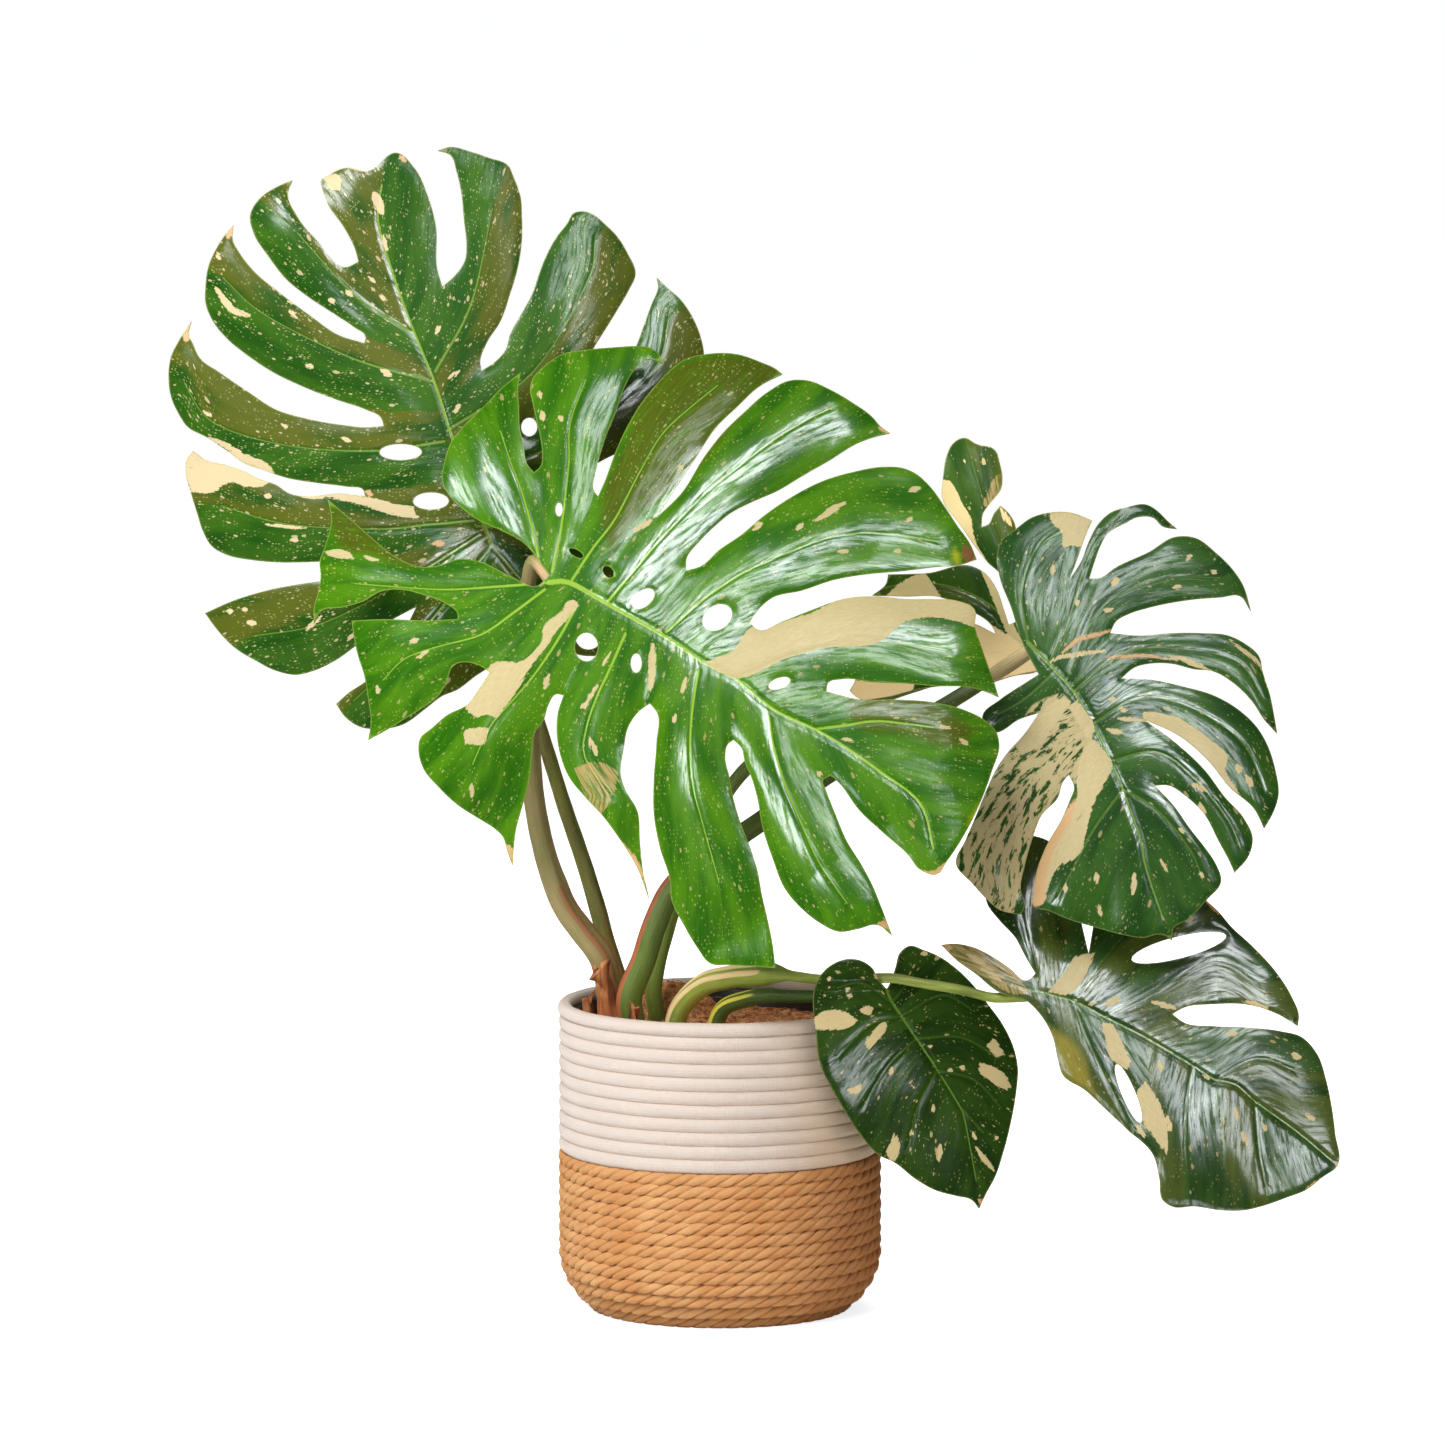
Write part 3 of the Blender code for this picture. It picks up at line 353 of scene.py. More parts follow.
# %% Midribs, veins, outlines and holes, in millimetres
LEAVES = {
    "leaf_back": {
        "junction": (-172, 573), "forward": -46, "lean": (0.05, -0.24), "cup": 8, "arch": 4, "droop": 1.5,
        "midrib": (-172, 573, -201, 652, -215, 695, -232, 737, -247, 778, -259, 820, -256, 850),
        "veins": [
            (-232, 734, -277, 764, -322, 813),
            (-215, 697, -277, 715, -345, 749, -379, 779),
            (-208, 652, -262, 645, -330, 650, -385, 668, -408, 700),
            (-186, 592, -221, 589, -259, 586, -328, 590, -380, 605),
            (-181, 581, -240, 545, -300, 515, -355, 505),
            (-172, 573, -215, 520, -262, 470, -278, 455),
            (-215, 705, -188, 757, -172, 832),
            (-206, 660, -142, 704, -101, 772, -94, 808),
            (-194, 622, -120, 652, -52, 704, -38, 749),
            (-184, 588, -120, 584, -60, 577),
            (-172, 573, -135, 532, -98, 506),
        ],
        "outline": (-244, 872, -268, 858, -283, 861, -304, 852, -298, 834, -285, 815, -276, 797, -274, 789,
            -282, 785, -305, 805, -320, 823, -328, 843, -325, 852, -337, 847, -351, 837, -357, 826,
            -354, 811, -343, 794, -328, 775, -313, 763, -292, 749, -277, 739, -268, 731, -269, 727,
            -288, 733, -310, 748, -334, 766, -354, 783, -365, 797, -370, 806, -370, 818, -376, 811,
            -383, 800, -389, 786, -391, 771, -391, 759, -386, 746, -374, 731, -358, 718, -340, 706,
            -313, 693, -290, 684, -267, 676, -256, 670, -254, 664, -267, 663, -286, 665, -313, 670,
            -336, 677, -358, 691, -380, 706, -395, 717, -400, 727, -404, 737, -402, 745, -411, 731,
            -417, 719, -419, 700, -417, 687, -411, 674, -405, 665, -389, 656, -374, 646, -360, 636,
            -346, 631, -328, 625, -305, 621, -282, 618, -269, 615, -268, 611, -290, 613, -313, 611,
            -325, 613, -336, 620, -350, 625, -360, 630, -374, 635, -392, 640, -400, 646, -405, 640,
            -406, 630, -402, 615, -397, 599, -392, 584, -386, 574, -374, 567, -355, 563, -334, 561,
            -313, 561, -277, 562, -247, 558, -266, 550, -301, 547, -316, 545, -343, 540, -370, 532,
            -391, 523, -382, 511, -367, 496, -352, 487, -336, 479, -320, 476, -310, 478, -290, 487,
            -273, 499, -251, 515, -229, 527, -236, 513, -266, 472, -281, 462, -290, 454, -283, 444,
            -270, 436, -262, 435, -240, 438, -221, 451, -209, 460, -199, 464, -184, 475, -174, 482,
            -165, 502, -165, 532, -171, 560, -165, 550, -150, 524, -127, 502, -101, 490, -82, 494, -75, 509,
            -90, 532, -124, 562, -97, 550, -67, 547, -41, 554, -39, 577, -52, 595, -75, 603, -105, 603,
            -129, 614, -109, 625, -90, 637, -78, 643, -52, 652, -30, 670, -15, 697, -12, 719, -15, 734,
            -20, 746, -29, 760, -41, 771, -48, 778, -47, 771, -52, 757, -58, 740, -64, 724, -79, 703,
            -94, 688, -109, 683, -105, 704, -95, 724, -87, 737, -78, 752, -69, 768, -64, 780, -70, 796,
            -78, 809, -87, 818, -97, 826, -104, 828, -112, 826, -115, 820, -124, 808, -132, 793, -138, 777,
            -142, 765, -151, 748, -159, 733, -162, 722, -172, 711, -180, 706, -181, 712, -176, 727,
            -166, 743, -159, 763, -153, 784, -150, 805, -150, 823, -151, 838, -157, 855, -160, 862,
            -176, 869, -191, 874, -205, 877, -214, 874, -205, 871, -200, 858, -196, 840, -194, 820,
            -192, 802, -193, 790, -200, 779, -210, 770, -214, 784, -215, 815, -221, 838, -232, 861),
        "holes": [(-241, 644, 16, 6, 0), (-218, 607, 13.5, 6.4, 0), (-144, 663, 6, 7, 0)],
    },
    "leaf_front": {
        "junction": (-120, 542), "forward": 58, "lean": (0.08, -0.5), "cup": 9, "arch": 5, "droop": 3,
        "midrib": (-127, 544, -112, 544, -85, 529, -43, 505, -13, 485, 12, 472, 39, 450, 70, 435, 94, 421,
            118, 404, 148, 380, 158, 345),
        "veins": [
            (-127, 544, -133, 555, -139, 581, -148, 612, -156, 633, -165, 660),
            (-125, 552, -119, 581, -116, 604, -113, 634, -112, 665, -100, 700),
            (-110, 546, -95, 569, -78, 592, -60, 627, -44, 655, -26, 673, 0, 695),
            (-84, 529, -64, 553, -41, 580, -10, 612, 8, 627, 35, 648, 61, 665, 84, 677),
            (-40, 507, -13, 531, 10, 547, 31, 558, 69, 574, 92, 580, 123, 581, 165, 575),
            (12, 472, 48, 488, 79, 496, 118, 500, 170, 492),
            (70, 435, 94, 438, 118, 441, 160, 436),
            (-127, 544, -166, 541, -206, 539, -252, 542, -275, 544),
            (-130, 539, -154, 521, -178, 505, -211, 496, -235, 487, -252, 470),
            (-106, 527, -121, 500, -138, 475, -154, 456, -169, 439, -178, 421, -184, 407),
            (-70, 506, -81, 481, -92, 457, -99, 435, -100, 415, -82, 385),
            (-16, 479, -20, 454, -22, 424, -20, 394, -14, 370, 0, 320),
            (36, 444, 39, 424, 48, 394, 61, 363, 74, 335, 95, 305),
        ],
        "outline": (-127, 550, -148, 575, -163, 583, -182, 592, -194, 601, -202, 609, -208, 621, -207, 634,
            -202, 650, -193, 662, -179, 676, -163, 693, -150, 704, -152, 691, -151, 679, -150, 661,
            -147, 647, -144, 633, -139, 627, -134, 632, -133, 639, -135, 655, -138, 668, -141, 681,
            -143, 691, -141, 699, -133, 708, -118, 718, -100, 721, -79, 723, -64, 724, -53, 723, -46, 718,
            -43, 711, -55, 714, -64, 706, -72, 691, -78, 673, -84, 658, -90, 639, -93, 627, -94, 613,
            -91, 609, -87, 618, -78, 643, -70, 661, -61, 677, -49, 693, -37, 706, -26, 714, -10, 718,
            13, 718, 31, 712, 42, 707, 47, 703, 31, 694, 13, 677, -3, 661, -15, 643, -34, 614, -47, 593,
            -29, 611, -11, 640, 2, 657, 18, 673, 36, 689, 53, 698, 66, 698, 83, 691, 100, 681, 115, 670,
            121, 663, 128, 658, 120, 656, 104, 650, 83, 637, 61, 624, 43, 613, 23, 604, 8, 596, -3, 587,
            -15, 575, -25, 561, -25, 553, -15, 556, 0, 569, 16, 580, 31, 593, 54, 609, 77, 621, 100, 628,
            123, 632, 138, 631, 147, 627, 157, 618, 169, 601, 178, 587, 187, 574, 192, 562, 181, 558,
            161, 556, 138, 553, 107, 550, 85, 546, 61, 538, 38, 532, 28, 523, 22, 514, 28, 509, 46, 515,
            69, 524, 92, 532, 115, 534, 138, 532, 161, 532, 176, 531, 190, 524, 190, 511, 194, 498,
            199, 483, 204, 469, 207, 459, 197, 463, 185, 466, 159, 467, 136, 469, 113, 470, 90, 472,
            80, 469, 79, 463, 104, 457, 130, 457, 158, 455, 182, 449, 196, 442, 205, 433, 207, 425,
            201, 403, 193, 382, 182, 360, 167, 337, 160, 328, 148, 331, 138, 343, 121, 358, 102, 376,
            89, 394, 82, 401, 76, 397, 78, 391, 85, 373, 94, 352, 104, 336, 112, 321, 119, 304, 127, 283,
            115, 291, 102, 288, 87, 286, 74, 292, 61, 302, 48, 317, 39, 339, 31, 364, 28, 382, 24, 397,
            18, 412, 16, 421, 10, 427, 6, 424, 4, 415, 7, 400, 10, 384, 16, 364, 22, 349, 28, 330, 31, 313,
            35, 296, 39, 276, 41, 259, 28, 260, 7, 261, -7, 262, -17, 274, -26, 289, -36, 310, -37, 324,
            -44, 346, -49, 373, -49, 397, -47, 425, -47, 448, -52, 454, -60, 448, -68, 436, -71, 421,
            -73, 400, -70, 391, -61, 375, -59, 352, -57, 332, -52, 308, -62, 334, -73, 352, -86, 370,
            -100, 385, -112, 400, -118, 415, -121, 436, -120, 448, -116, 460, -121, 461, -127, 453,
            -130, 443, -138, 430, -139, 420, -141, 399, -146, 379, -151, 361, -154, 334, -158, 345,
            -161, 355, -167, 361, -178, 368, -195, 379, -208, 391, -221, 407, -224, 418, -223, 428,
            -214, 436, -202, 446, -188, 453, -178, 466, -171, 477, -178, 482, -198, 482, -203, 470,
            -209, 460, -221, 451, -237, 441, -252, 432, -262, 427, -260, 441, -262, 457, -265, 475,
            -270, 490, -274, 508, -275, 516, -252, 517, -214, 516, -195, 517, -195, 520, -205, 529,
            -221, 535, -236, 539, -252, 538, -267, 530, -282, 526, -299, 523, -304, 514, -304, 526,
            -301, 537, -299, 549, -300, 561, -296, 573, -292, 593, -295, 608, -274, 590, -259, 577,
            -244, 565, -221, 556, -210, 557, -194, 562, -179, 560, -156, 549, -135, 542),
        "holes": [(-120, 599, 2.6, 5.3, 0), (-107, 566, 2.5, 6, 60), (-83, 552, 3.5, 5, 40),
            (-57, 532, 10, 6, 40), (-2, 518, 12, 9, 35), (-99, 496, 8.5, 10.5, 0), (-62, 484, 4, 7, 0),
            (44, 469, 8.5, 4, 20)],
    },
    "leaf_right": {
        "junction": (232, 498), "forward": 15, "lean": (0.04, -0.42), "cup": 10, "arch": 4, "droop": 3,
        "midrib": (230, 500, 246, 484, 264, 463, 278, 439, 291, 411, 300, 390, 304, 378, 313, 352, 317, 331,
            330, 292),
        "veins": [
            (230, 502, 226, 540, 240, 575, 262, 590),
            (246, 484, 262, 520, 272, 552, 283, 576, 305, 597),
            (258, 470, 284, 524, 330, 547, 378, 549),
            (264, 463, 300, 492, 345, 495, 388, 485, 408, 455),
            (278, 439, 312, 458, 350, 452, 390, 425, 408, 385),
            (291, 411, 325, 418, 352, 400, 378, 368, 388, 345),
            (300, 390, 325, 375, 350, 345, 360, 320),
            (250, 478, 228, 458, 206, 445),
            (278, 439, 258, 425, 225, 390, 200, 345, 195, 320),
            (300, 390, 278, 360, 262, 330, 250, 308),
        ],
        "outline": (225, 503, 218, 526, 210, 548, 208, 567, 211, 576, 223, 586, 234, 594, 248, 598,
            264, 598, 280, 592, 274, 578, 268, 562, 262, 547, 271, 561, 277, 576, 285, 590, 294, 598,
            306, 602, 322, 604, 330, 599, 337, 592, 344, 586, 333, 588, 327, 594, 316, 595, 303, 589,
            292, 583, 286, 573, 281, 560, 277, 548, 283, 548, 298, 557, 322, 568, 344, 580, 358, 579,
            373, 568, 385, 556, 393, 544, 399, 524, 391, 535, 377, 534, 354, 532, 322, 526, 306, 521,
            297, 516, 292, 507, 314, 505, 338, 507, 361, 507, 382, 505, 394, 499, 404, 490, 407, 477,
            412, 460, 415, 444, 417, 432, 408, 441, 398, 456, 385, 469, 370, 478, 354, 480, 338, 484,
            322, 484, 310, 481, 300, 473, 322, 472, 346, 467, 370, 460, 390, 448, 402, 436, 409, 424,
            415, 405, 417, 385, 412, 371, 406, 361, 398, 376, 381, 391, 364, 412, 343, 430, 317, 442,
            341, 424, 362, 404, 376, 385, 391, 368, 397, 354, 394, 341, 383, 328, 379, 337, 371, 352,
            361, 371, 347, 385, 334, 393, 324, 393, 338, 378, 350, 361, 361, 347, 369, 335, 373, 322,
            362, 308, 347, 293, 337, 287, 336, 278, 330, 282, 313, 280, 296, 283, 278, 288, 261, 293,
            244, 300, 233, 304, 233, 312, 237, 333, 244, 350, 254, 367, 261, 383, 264, 391, 260, 401,
            256, 396, 252, 384, 240, 371, 233, 354, 227, 333, 224, 316, 227, 304, 223, 297, 217, 298,
            209, 300, 199, 308, 188, 320, 176, 335, 183, 352, 192, 373, 199, 390, 206, 405, 215, 418,
            226, 430, 238, 447, 223, 442, 209, 433, 200, 431, 196, 445, 209, 457, 227, 469, 238, 476,
            232, 487),
        "holes": [],
    },
    "leaf_far_right": {
        "junction": (232, 496), "forward": -52, "lean": (0.05, -0.2), "cup": 8, "arch": 4, "droop": 4,
        "midrib": (232, 496, 220, 510, 205, 528, 180, 541, 150, 546, 120, 541),
        "veins": [
            (232, 496, 226, 530, 216, 560, 202, 600, 190, 640),
            (232, 496, 205, 494, 160, 490, 110, 470),
        ],
        "outline": (244, 492, 238, 530, 232, 560, 225, 582, 222, 593, 217, 600, 212, 604, 207, 598,
            203, 590, 198, 588, 199, 598, 203, 604, 208, 610, 213, 617, 214, 624, 212, 637, 209, 646,
            205, 649, 198, 650, 193, 652, 186, 656, 181, 655, 176, 651, 172, 643, 169, 627, 168, 610,
            181, 590, 194, 571, 203, 560, 211, 553, 217, 545, 220, 532, 223, 516, 218, 514, 214, 527,
            209, 541, 199, 554, 191, 558, 157, 553, 127, 552, 126, 546, 115, 536, 140, 535, 164, 535,
            190, 524, 205, 513, 208, 507, 191, 515, 165, 513, 135, 502, 109, 483, 98, 464, 103, 459,
            124, 459, 145, 464, 172, 468, 205, 470, 222, 475, 239, 478, 247, 482),
        "holes": [],
    },
    "leaf_low": {
        "junction": (234, 241), "forward": 80, "lean": (-0.02, -0.58), "cup": 5, "arch": 3, "droop": 4,
        "midrib": (230, 241, 262, 233, 286, 221, 310, 209, 331, 197, 351, 185, 367, 175, 383, 171, 397, 159,
            430, 135, 455, 114),
        "veins": [
            (236, 240, 232, 265, 225, 300, 225, 335),
            (262, 233, 285, 262, 320, 300, 348, 315),
            (286, 221, 325, 240, 370, 262, 405, 245),
            (367, 175, 400, 190, 430, 180),
            (234, 241, 205, 256, 180, 268),
            (262, 233, 275, 200, 292, 165, 308, 132),
            (351, 185, 345, 150, 345, 110),
            (397, 159, 400, 120, 405, 95),
        ],
        "outline": (228, 233, 208, 239, 190, 253, 176, 263, 165, 274, 174, 275, 190, 272, 204, 265,
            216, 257, 229, 248, 235, 253, 228, 265, 220, 280, 208, 293, 200, 304, 199, 322, 210, 344,
            232, 355, 255, 345, 266, 322, 270, 292, 275, 268, 281, 295, 292, 318, 322, 329, 349, 322,
            363, 308, 373, 299, 383, 287, 397, 274, 416, 253, 427, 235, 432, 221, 431, 214, 415, 223,
            391, 230, 367, 230, 347, 228, 337, 223, 345, 217, 367, 214, 391, 213, 418, 210, 433, 206,
            445, 193, 451, 175, 455, 154, 457, 135, 458, 111, 447, 103, 435, 94, 419, 88, 401, 82, 387, 79,
            371, 79, 351, 82, 334, 82, 328, 86, 325, 103, 321, 119, 301, 139, 286, 153, 271, 167, 254, 179,
            251, 189, 247, 207, 238, 223),
        "holes": [(343, 272, 37, 8, 14), (303, 165, 23, 5, 112)],
    },
    "leaf_young": {
        "junction": (125, 236), "forward": 100, "lean": (-0.42, -0.04), "cup": 12, "arch": 1, "droop": 5,
        "parting": 6,
        "midrib": (124, 241, 128, 232, 146, 205, 162, 181, 178, 155, 183, 142, 192, 95),
        "veins": [
            (128, 232, 105, 247, 86, 243),
            (135, 222, 110, 215, 86, 190),
            (146, 205, 125, 185, 105, 152),
            (162, 181, 148, 155, 140, 122),
            (128, 232, 145, 254),
            (135, 222, 165, 237, 188, 226),
            (146, 205, 180, 205, 210, 188),
            (162, 181, 190, 173, 212, 150),
            (178, 155, 198, 132),
        ],
        "outline": (124, 242, 118, 249, 113, 258, 106, 263, 96, 265, 85, 262, 76, 255, 70, 243, 69, 227,
            71, 211, 74, 187, 83, 168, 94, 149, 106, 131, 118, 118, 130, 112, 145, 100, 160, 91, 177, 86,
            188, 83, 194, 76, 199, 87, 206, 100, 212, 118, 218, 142, 222, 166, 223, 181, 220, 196, 211, 215,
            200, 230, 190, 243, 177, 256, 163, 266, 151, 271, 141, 274, 134, 269, 131, 259, 128, 249),
        "holes": [],
    },
}

print("leaves drawn:", len(LEAVES))

# %% [markdown]
# The markings, as drawn
#
# The cream sectors and dashes are what the plant is known for. They start as white sectors in the growing
# tip, so they run with the veins and end sharply. The large ones are placed where the real leaves have
# them. The hundreds of small speckles come from a texture later on.
#
# Marks of one colour that follow one another stand together. Each gives half its width, then its points,
# as x and h in turn. Half a width of 0 means a filled area. The olive patches are painted shade.

# %% Marks, in millimetres
MARKS = {
    "leaf_back": [
        ("cream", [
            (0, -406, 643, -400, 647, -379, 646, -360, 643, -344, 637, -336, 629, -344, 620, -360, 619,
             -371, 622, -384, 615, -402, 614, -406, 629),
            (0, -326, 614, -292, 614, -270, 611, -252, 607, -229, 602, -231, 598, -223, 592, -234, 594,
             -252, 598, -270, 604, -292, 609, -315, 610),
            (0, -302, 854, -292, 857, -288, 854, -288, 844, -294, 844), (3.6, -262, 841, -256, 826),
            (1.6, -256, 810, -252, 797), (2.2, -383, 770, -376, 760, -368, 752, -356, 748),
            (1.8, -382, 797, -380, 792), (1.8, -283, 767, -278, 763), (2, -296, 760, -292, 758),
            (1.6, -266, 777, -261, 773), (1.6, -257, 763, -253, 759), (1.6, -326, 752, -320, 746),
            (1.6, -313, 710, -307, 709), (2.2, -256, 706, -248, 702), (1.6, -205, 700, -196, 706),
            (1.6, -200, 674, -196, 681), (1.6, -215, 734, -212, 740), (1.4, -392, 676, -385, 672),
            (1.4, -332, 666, -327, 663), (1.5, -285, 655, -279, 652), (2.6, -357, 516, -352, 515),
            (2.2, -373, 524, -369, 524), (1.8, -362, 526, -358, 526), (1.6, -301, 520, -313, 510),
            (1.5, -281, 502, -275, 507), (2.2, -344, 612, -340, 611), (1.3, -344, 590, -315, 587),
            (2, -324, 578, -319, 578), (1.3, -328, 759, -290, 748), (1.8, -387, 656, -362, 644),
        ]),
        ("peach", [
            (3.2, -370, 818, -374, 809), (4.2, -403, 743, -406, 731), (2.6, -267, 614, -263, 612),
            (2.4, -216, 575, -208, 575), (1.4, -282, 862, -268, 858), (1.6, -243, 870, -238, 865),
        ]),
        ("painted_shade_patch", [
            (0, -209, 629, -174, 622, -165, 592, -188, 562, -210, 592),
            (0, -225, 494, -188, 490, -165, 464, -188, 442, -214, 457),
        ]),
    ],
    "leaf_front": [
        ("cream", [
            (0, -13, 485, 10, 494, 22, 510, 48, 515, 79, 527, 92, 534, 113, 535, 153, 534, 175, 532,
             191, 526, 192, 510, 180, 514, 163, 518, 138, 515, 120, 501, 71, 494, 48, 487, 11, 473),
            (0, -112, 531, -103, 529, -120, 508, -140, 481, -154, 458, -166, 443, -172, 446, -180, 444,
             -190, 451, -180, 466, -168, 484, -146, 486, -132, 502, -130, 513, -117, 523),
            (0, -189, 434, -182, 436, -171, 436, -175, 423, -189, 424), (2, -127, 476, -130, 465),
            (1.4, -81, 492, -87, 482), (1.4, -90, 468, -101, 452), (2.2, -98, 454, -103, 451),
            (2, -96, 428, -91, 416), (2.6, -50, 498, -50, 478, -52, 464), (1.8, -25, 473, -28, 462),
            (1.7, -33, 446, -34, 440), (2.2, 72, 591, 84, 599, 94, 605), (2, 142, 614, 150, 616),
            (1.6, 88, 567, 96, 568), (1.4, 130, 568, 136, 568), (2.2, 25, 584, 31, 589),
            (1.6, 140, 590, 144, 594), (1.5, 57, 584, 62, 588), (1.9, -64, 582, -51, 591),
            (2.4, -134, 673, -132, 667), (2, -136, 689, -135, 684), (1.6, -100, 704, -98, 700),
            (1.8, -120, 670, -119, 666), (1.8, -30, 629, -28, 632),
            (0, -298, 567, -289, 570, -276, 566, -272, 562, -281, 562, -292, 565),
            (1.5, -266, 564, -254, 561), (1.5, -82, 551, -86, 548), (1.3, 90, 428, 98, 427),
            (1.6, 177, 428, 184, 424), (1.2, 161, 437, 171, 436), (1.6, 72, 404, 75, 400),
            (2.2, -230, 500, -225, 502), (1.6, -255, 467, -254, 461), (1.5, -184, 394, -184, 385),
            (1.4, -226, 487, -216, 494),
        ]),
        ("peach", [
            (2.2, 120, 662, 128, 658), (2.4, -163, 351, -154, 343, -154, 334),
            (1.7, -84, 361, -71, 348, -60, 333, -54, 310), (2.6, 117, 292, 128, 290),
            (2.6, 144, 331, 158, 328, 172, 340), (1.5, -265, 608, -251, 598, -229, 586),
        ]),
        ("yellow", [
            (3.4, 198, 385, 190, 374, 182, 364), (4.2, 175, 570, 178, 557),
        ]),
        ("brown", [
            (5, 183, 571, 190, 559),
        ]),
        ("painted_shade_patch", [
            (0, -49, 700, -15, 716, 15, 718, 52, 708, 15, 667, -22, 622, -60, 592, -82, 562, -90, 592,
             -71, 652),
            (0, 90, 457, 120, 464, 158, 457, 191, 434, 180, 423, 135, 430, 98, 438),
            (0, -296, 610, -270, 590, -244, 572, -219, 554, -240, 556, -262, 564, -283, 568, -292, 586),
        ]),
        ("fawn", [
            (0, -108, 406, -90, 411, -75, 404, -78, 389, -88, 370, -98, 382),
        ]),
    ],
    "leaf_right": [
        ("cream", [
            (0, 247, 598, 262, 600, 283, 593, 280, 583, 272, 572, 263, 573, 257, 568, 256, 584, 249, 591),
            (1.8, 250, 558, 249, 551), (2.2, 294, 543, 299, 549), (1.6, 287, 523, 295, 525),
            (1.8, 267, 528, 268, 532), (1.7, 351, 562, 354, 566), (1.7, 369, 554, 373, 553),
            (1.6, 340, 541, 346, 542), (1.5, 246, 485, 255, 489, 268, 491, 289, 494),
        ]),
        ("peach", [
            (1.6, 256, 492, 268, 502, 283, 506, 293, 509), (1.5, 289, 488, 314, 490, 332, 488),
        ]),
        ("cream", [
            (1.9, 332, 488, 347, 487, 368, 478),
            (0, 316, 449, 327, 447, 338, 445, 353, 437, 366, 427, 379, 412, 377, 406, 384, 393, 395, 374,
             388, 377, 377, 391, 358, 410, 338, 428, 322, 438, 316, 442),
            (1.5, 297, 443, 314, 442), (1.5, 290, 458, 296, 457), (1.4, 298, 451, 304, 448),
            (1.9, 289, 435, 300, 432), (2.6, 386, 408, 388, 403), (2.2, 393, 400, 397, 392),
            (2.2, 352, 394, 363, 389), (1.8, 357, 380, 362, 370), (1.9, 308, 328, 307, 312),
            (1.8, 280, 328, 280, 320), (1.3, 328, 338, 334, 328), (1.6, 257, 320, 257, 314),
            (1.5, 282, 304, 283, 296), (1.5, 357, 329, 359, 324), (1.5, 341, 361, 346, 358),
            (0, 221, 422, 225, 436, 240, 448, 256, 458, 263, 455, 251, 440, 243, 428, 232, 419, 224, 418),
            (0, 260, 452, 267, 457, 278, 431, 274, 427),
            (0, 278, 430, 292, 404, 288, 397, 278, 378, 272, 357, 269, 344, 261, 337, 252, 333, 245, 320,
             238, 304, 232, 304, 233, 325, 240, 350, 253, 369, 266, 384, 266, 398, 269, 416),
        ]),
        ("peach", [
            (0, 232, 302, 232, 325, 240, 350, 253, 369, 266, 386, 262, 368, 250, 348, 242, 323, 239, 304),
        ]),
        ("mottle", [
            (0, 232, 453, 256, 464, 278, 433, 272, 398, 254, 388, 240, 359, 231, 337, 224, 312, 218, 296,
             198, 305, 172, 335, 190, 380, 209, 414, 220, 428),
        ]),
        ("peach", [
            (1.6, 199, 304, 212, 298, 219, 300), (1.8, 360, 603, 388, 569, 394, 547),
        ]),
        ("cream", [
            (1.4, 382, 502, 405, 483, 411, 464),
        ]),
    ],
    "leaf_far_right": [
        ("cream", [
            (0, 167, 625, 175, 622, 182, 608, 190, 593, 193, 577, 202, 562, 214, 532, 230, 496, 222, 500,
             210, 523, 199, 550, 189, 573, 177, 584, 167, 603),
        ]),
        ("fawn", [
            (0, 202, 613, 206, 623, 213, 631, 217, 622, 211, 611, 201, 603, 198, 605),
        ]),
        ("peach", [
            (2, 212, 602, 220, 589),
        ]),
        ("cream", [
            (0, 124, 535, 140, 548, 154, 554, 162, 543, 169, 532, 146, 530),
        ]),
        ("peach", [
            (0, 188, 523, 210, 511, 227, 499, 249, 478, 248, 475, 224, 474, 201, 469, 198, 490, 184, 502),
        ]),
        ("brown", [
            (1.5, 202, 469, 219, 474, 240, 478),
        ]),
        ("fawn", [
            (3.6, 224, 483, 226, 482),
        ]),
        ("peach", [
            (0, 99, 472, 148, 472, 142, 459, 120, 456, 99, 457),
        ]),
    ],
    "leaf_low": [
        ("fawn", [
            (0, 164, 275, 174, 278, 200, 270, 212, 262, 228, 243, 232, 238, 218, 238, 197, 250, 178, 260,
             166, 266),
        ]),
        ("cream", [
            (1.6, 184, 267, 198, 260), (1.4, 195, 256, 210, 248),
        ]),
        ("peach", [
            (3.4, 167, 272, 172, 272),
        ]),
        ("cream", [
            (0, 280, 268, 274, 255, 260, 238, 244, 239, 257, 255, 266, 266),
        ]),
        ("painted_shade_patch", [
            (0, 243, 217, 262, 205, 271, 193, 278, 171, 286, 154, 271, 166, 256, 176, 250, 191),
        ]),
        ("cream", [
            (0, 284, 218, 292, 215, 300, 199, 305, 187, 302, 182, 290, 191, 286, 205),
            (0, 316, 174, 322, 165, 328, 153, 332, 119, 321, 133, 310, 153, 309, 165),
            (1.7, 308, 142, 315, 133), (2.2, 378, 208, 385, 209), (2.2, 426, 193, 432, 190),
            (1.8, 326, 188, 328, 182), (2.2, 286, 230, 298, 235), (1.5, 274, 230, 280, 232),
            (1.8, 322, 232, 340, 227), (1.9, 392, 232, 409, 227), (2.2, 348, 292, 354, 294),
        ]),
        ("peach", [
            (2, 364, 308, 376, 296),
        ]),
        ("cream", [
            (1.5, 332, 148, 334, 137), (1.6, 387, 136, 391, 127), (1.5, 382, 154, 384, 145),
            (1.6, 403, 142, 405, 137), (1.6, 435, 149, 442, 145),
        ]),
        ("peach", [
            (2, 458, 113, 458, 109), (1.7, 434, 94, 450, 103),
        ]),
        ("cream", [
            (1.2, 358, 178, 366, 175),
        ]),
    ],
    "leaf_young": [
        ("cream", [
            (0, 70, 221, 77, 226, 94, 225, 103, 219, 96, 214, 83, 212, 71, 212),
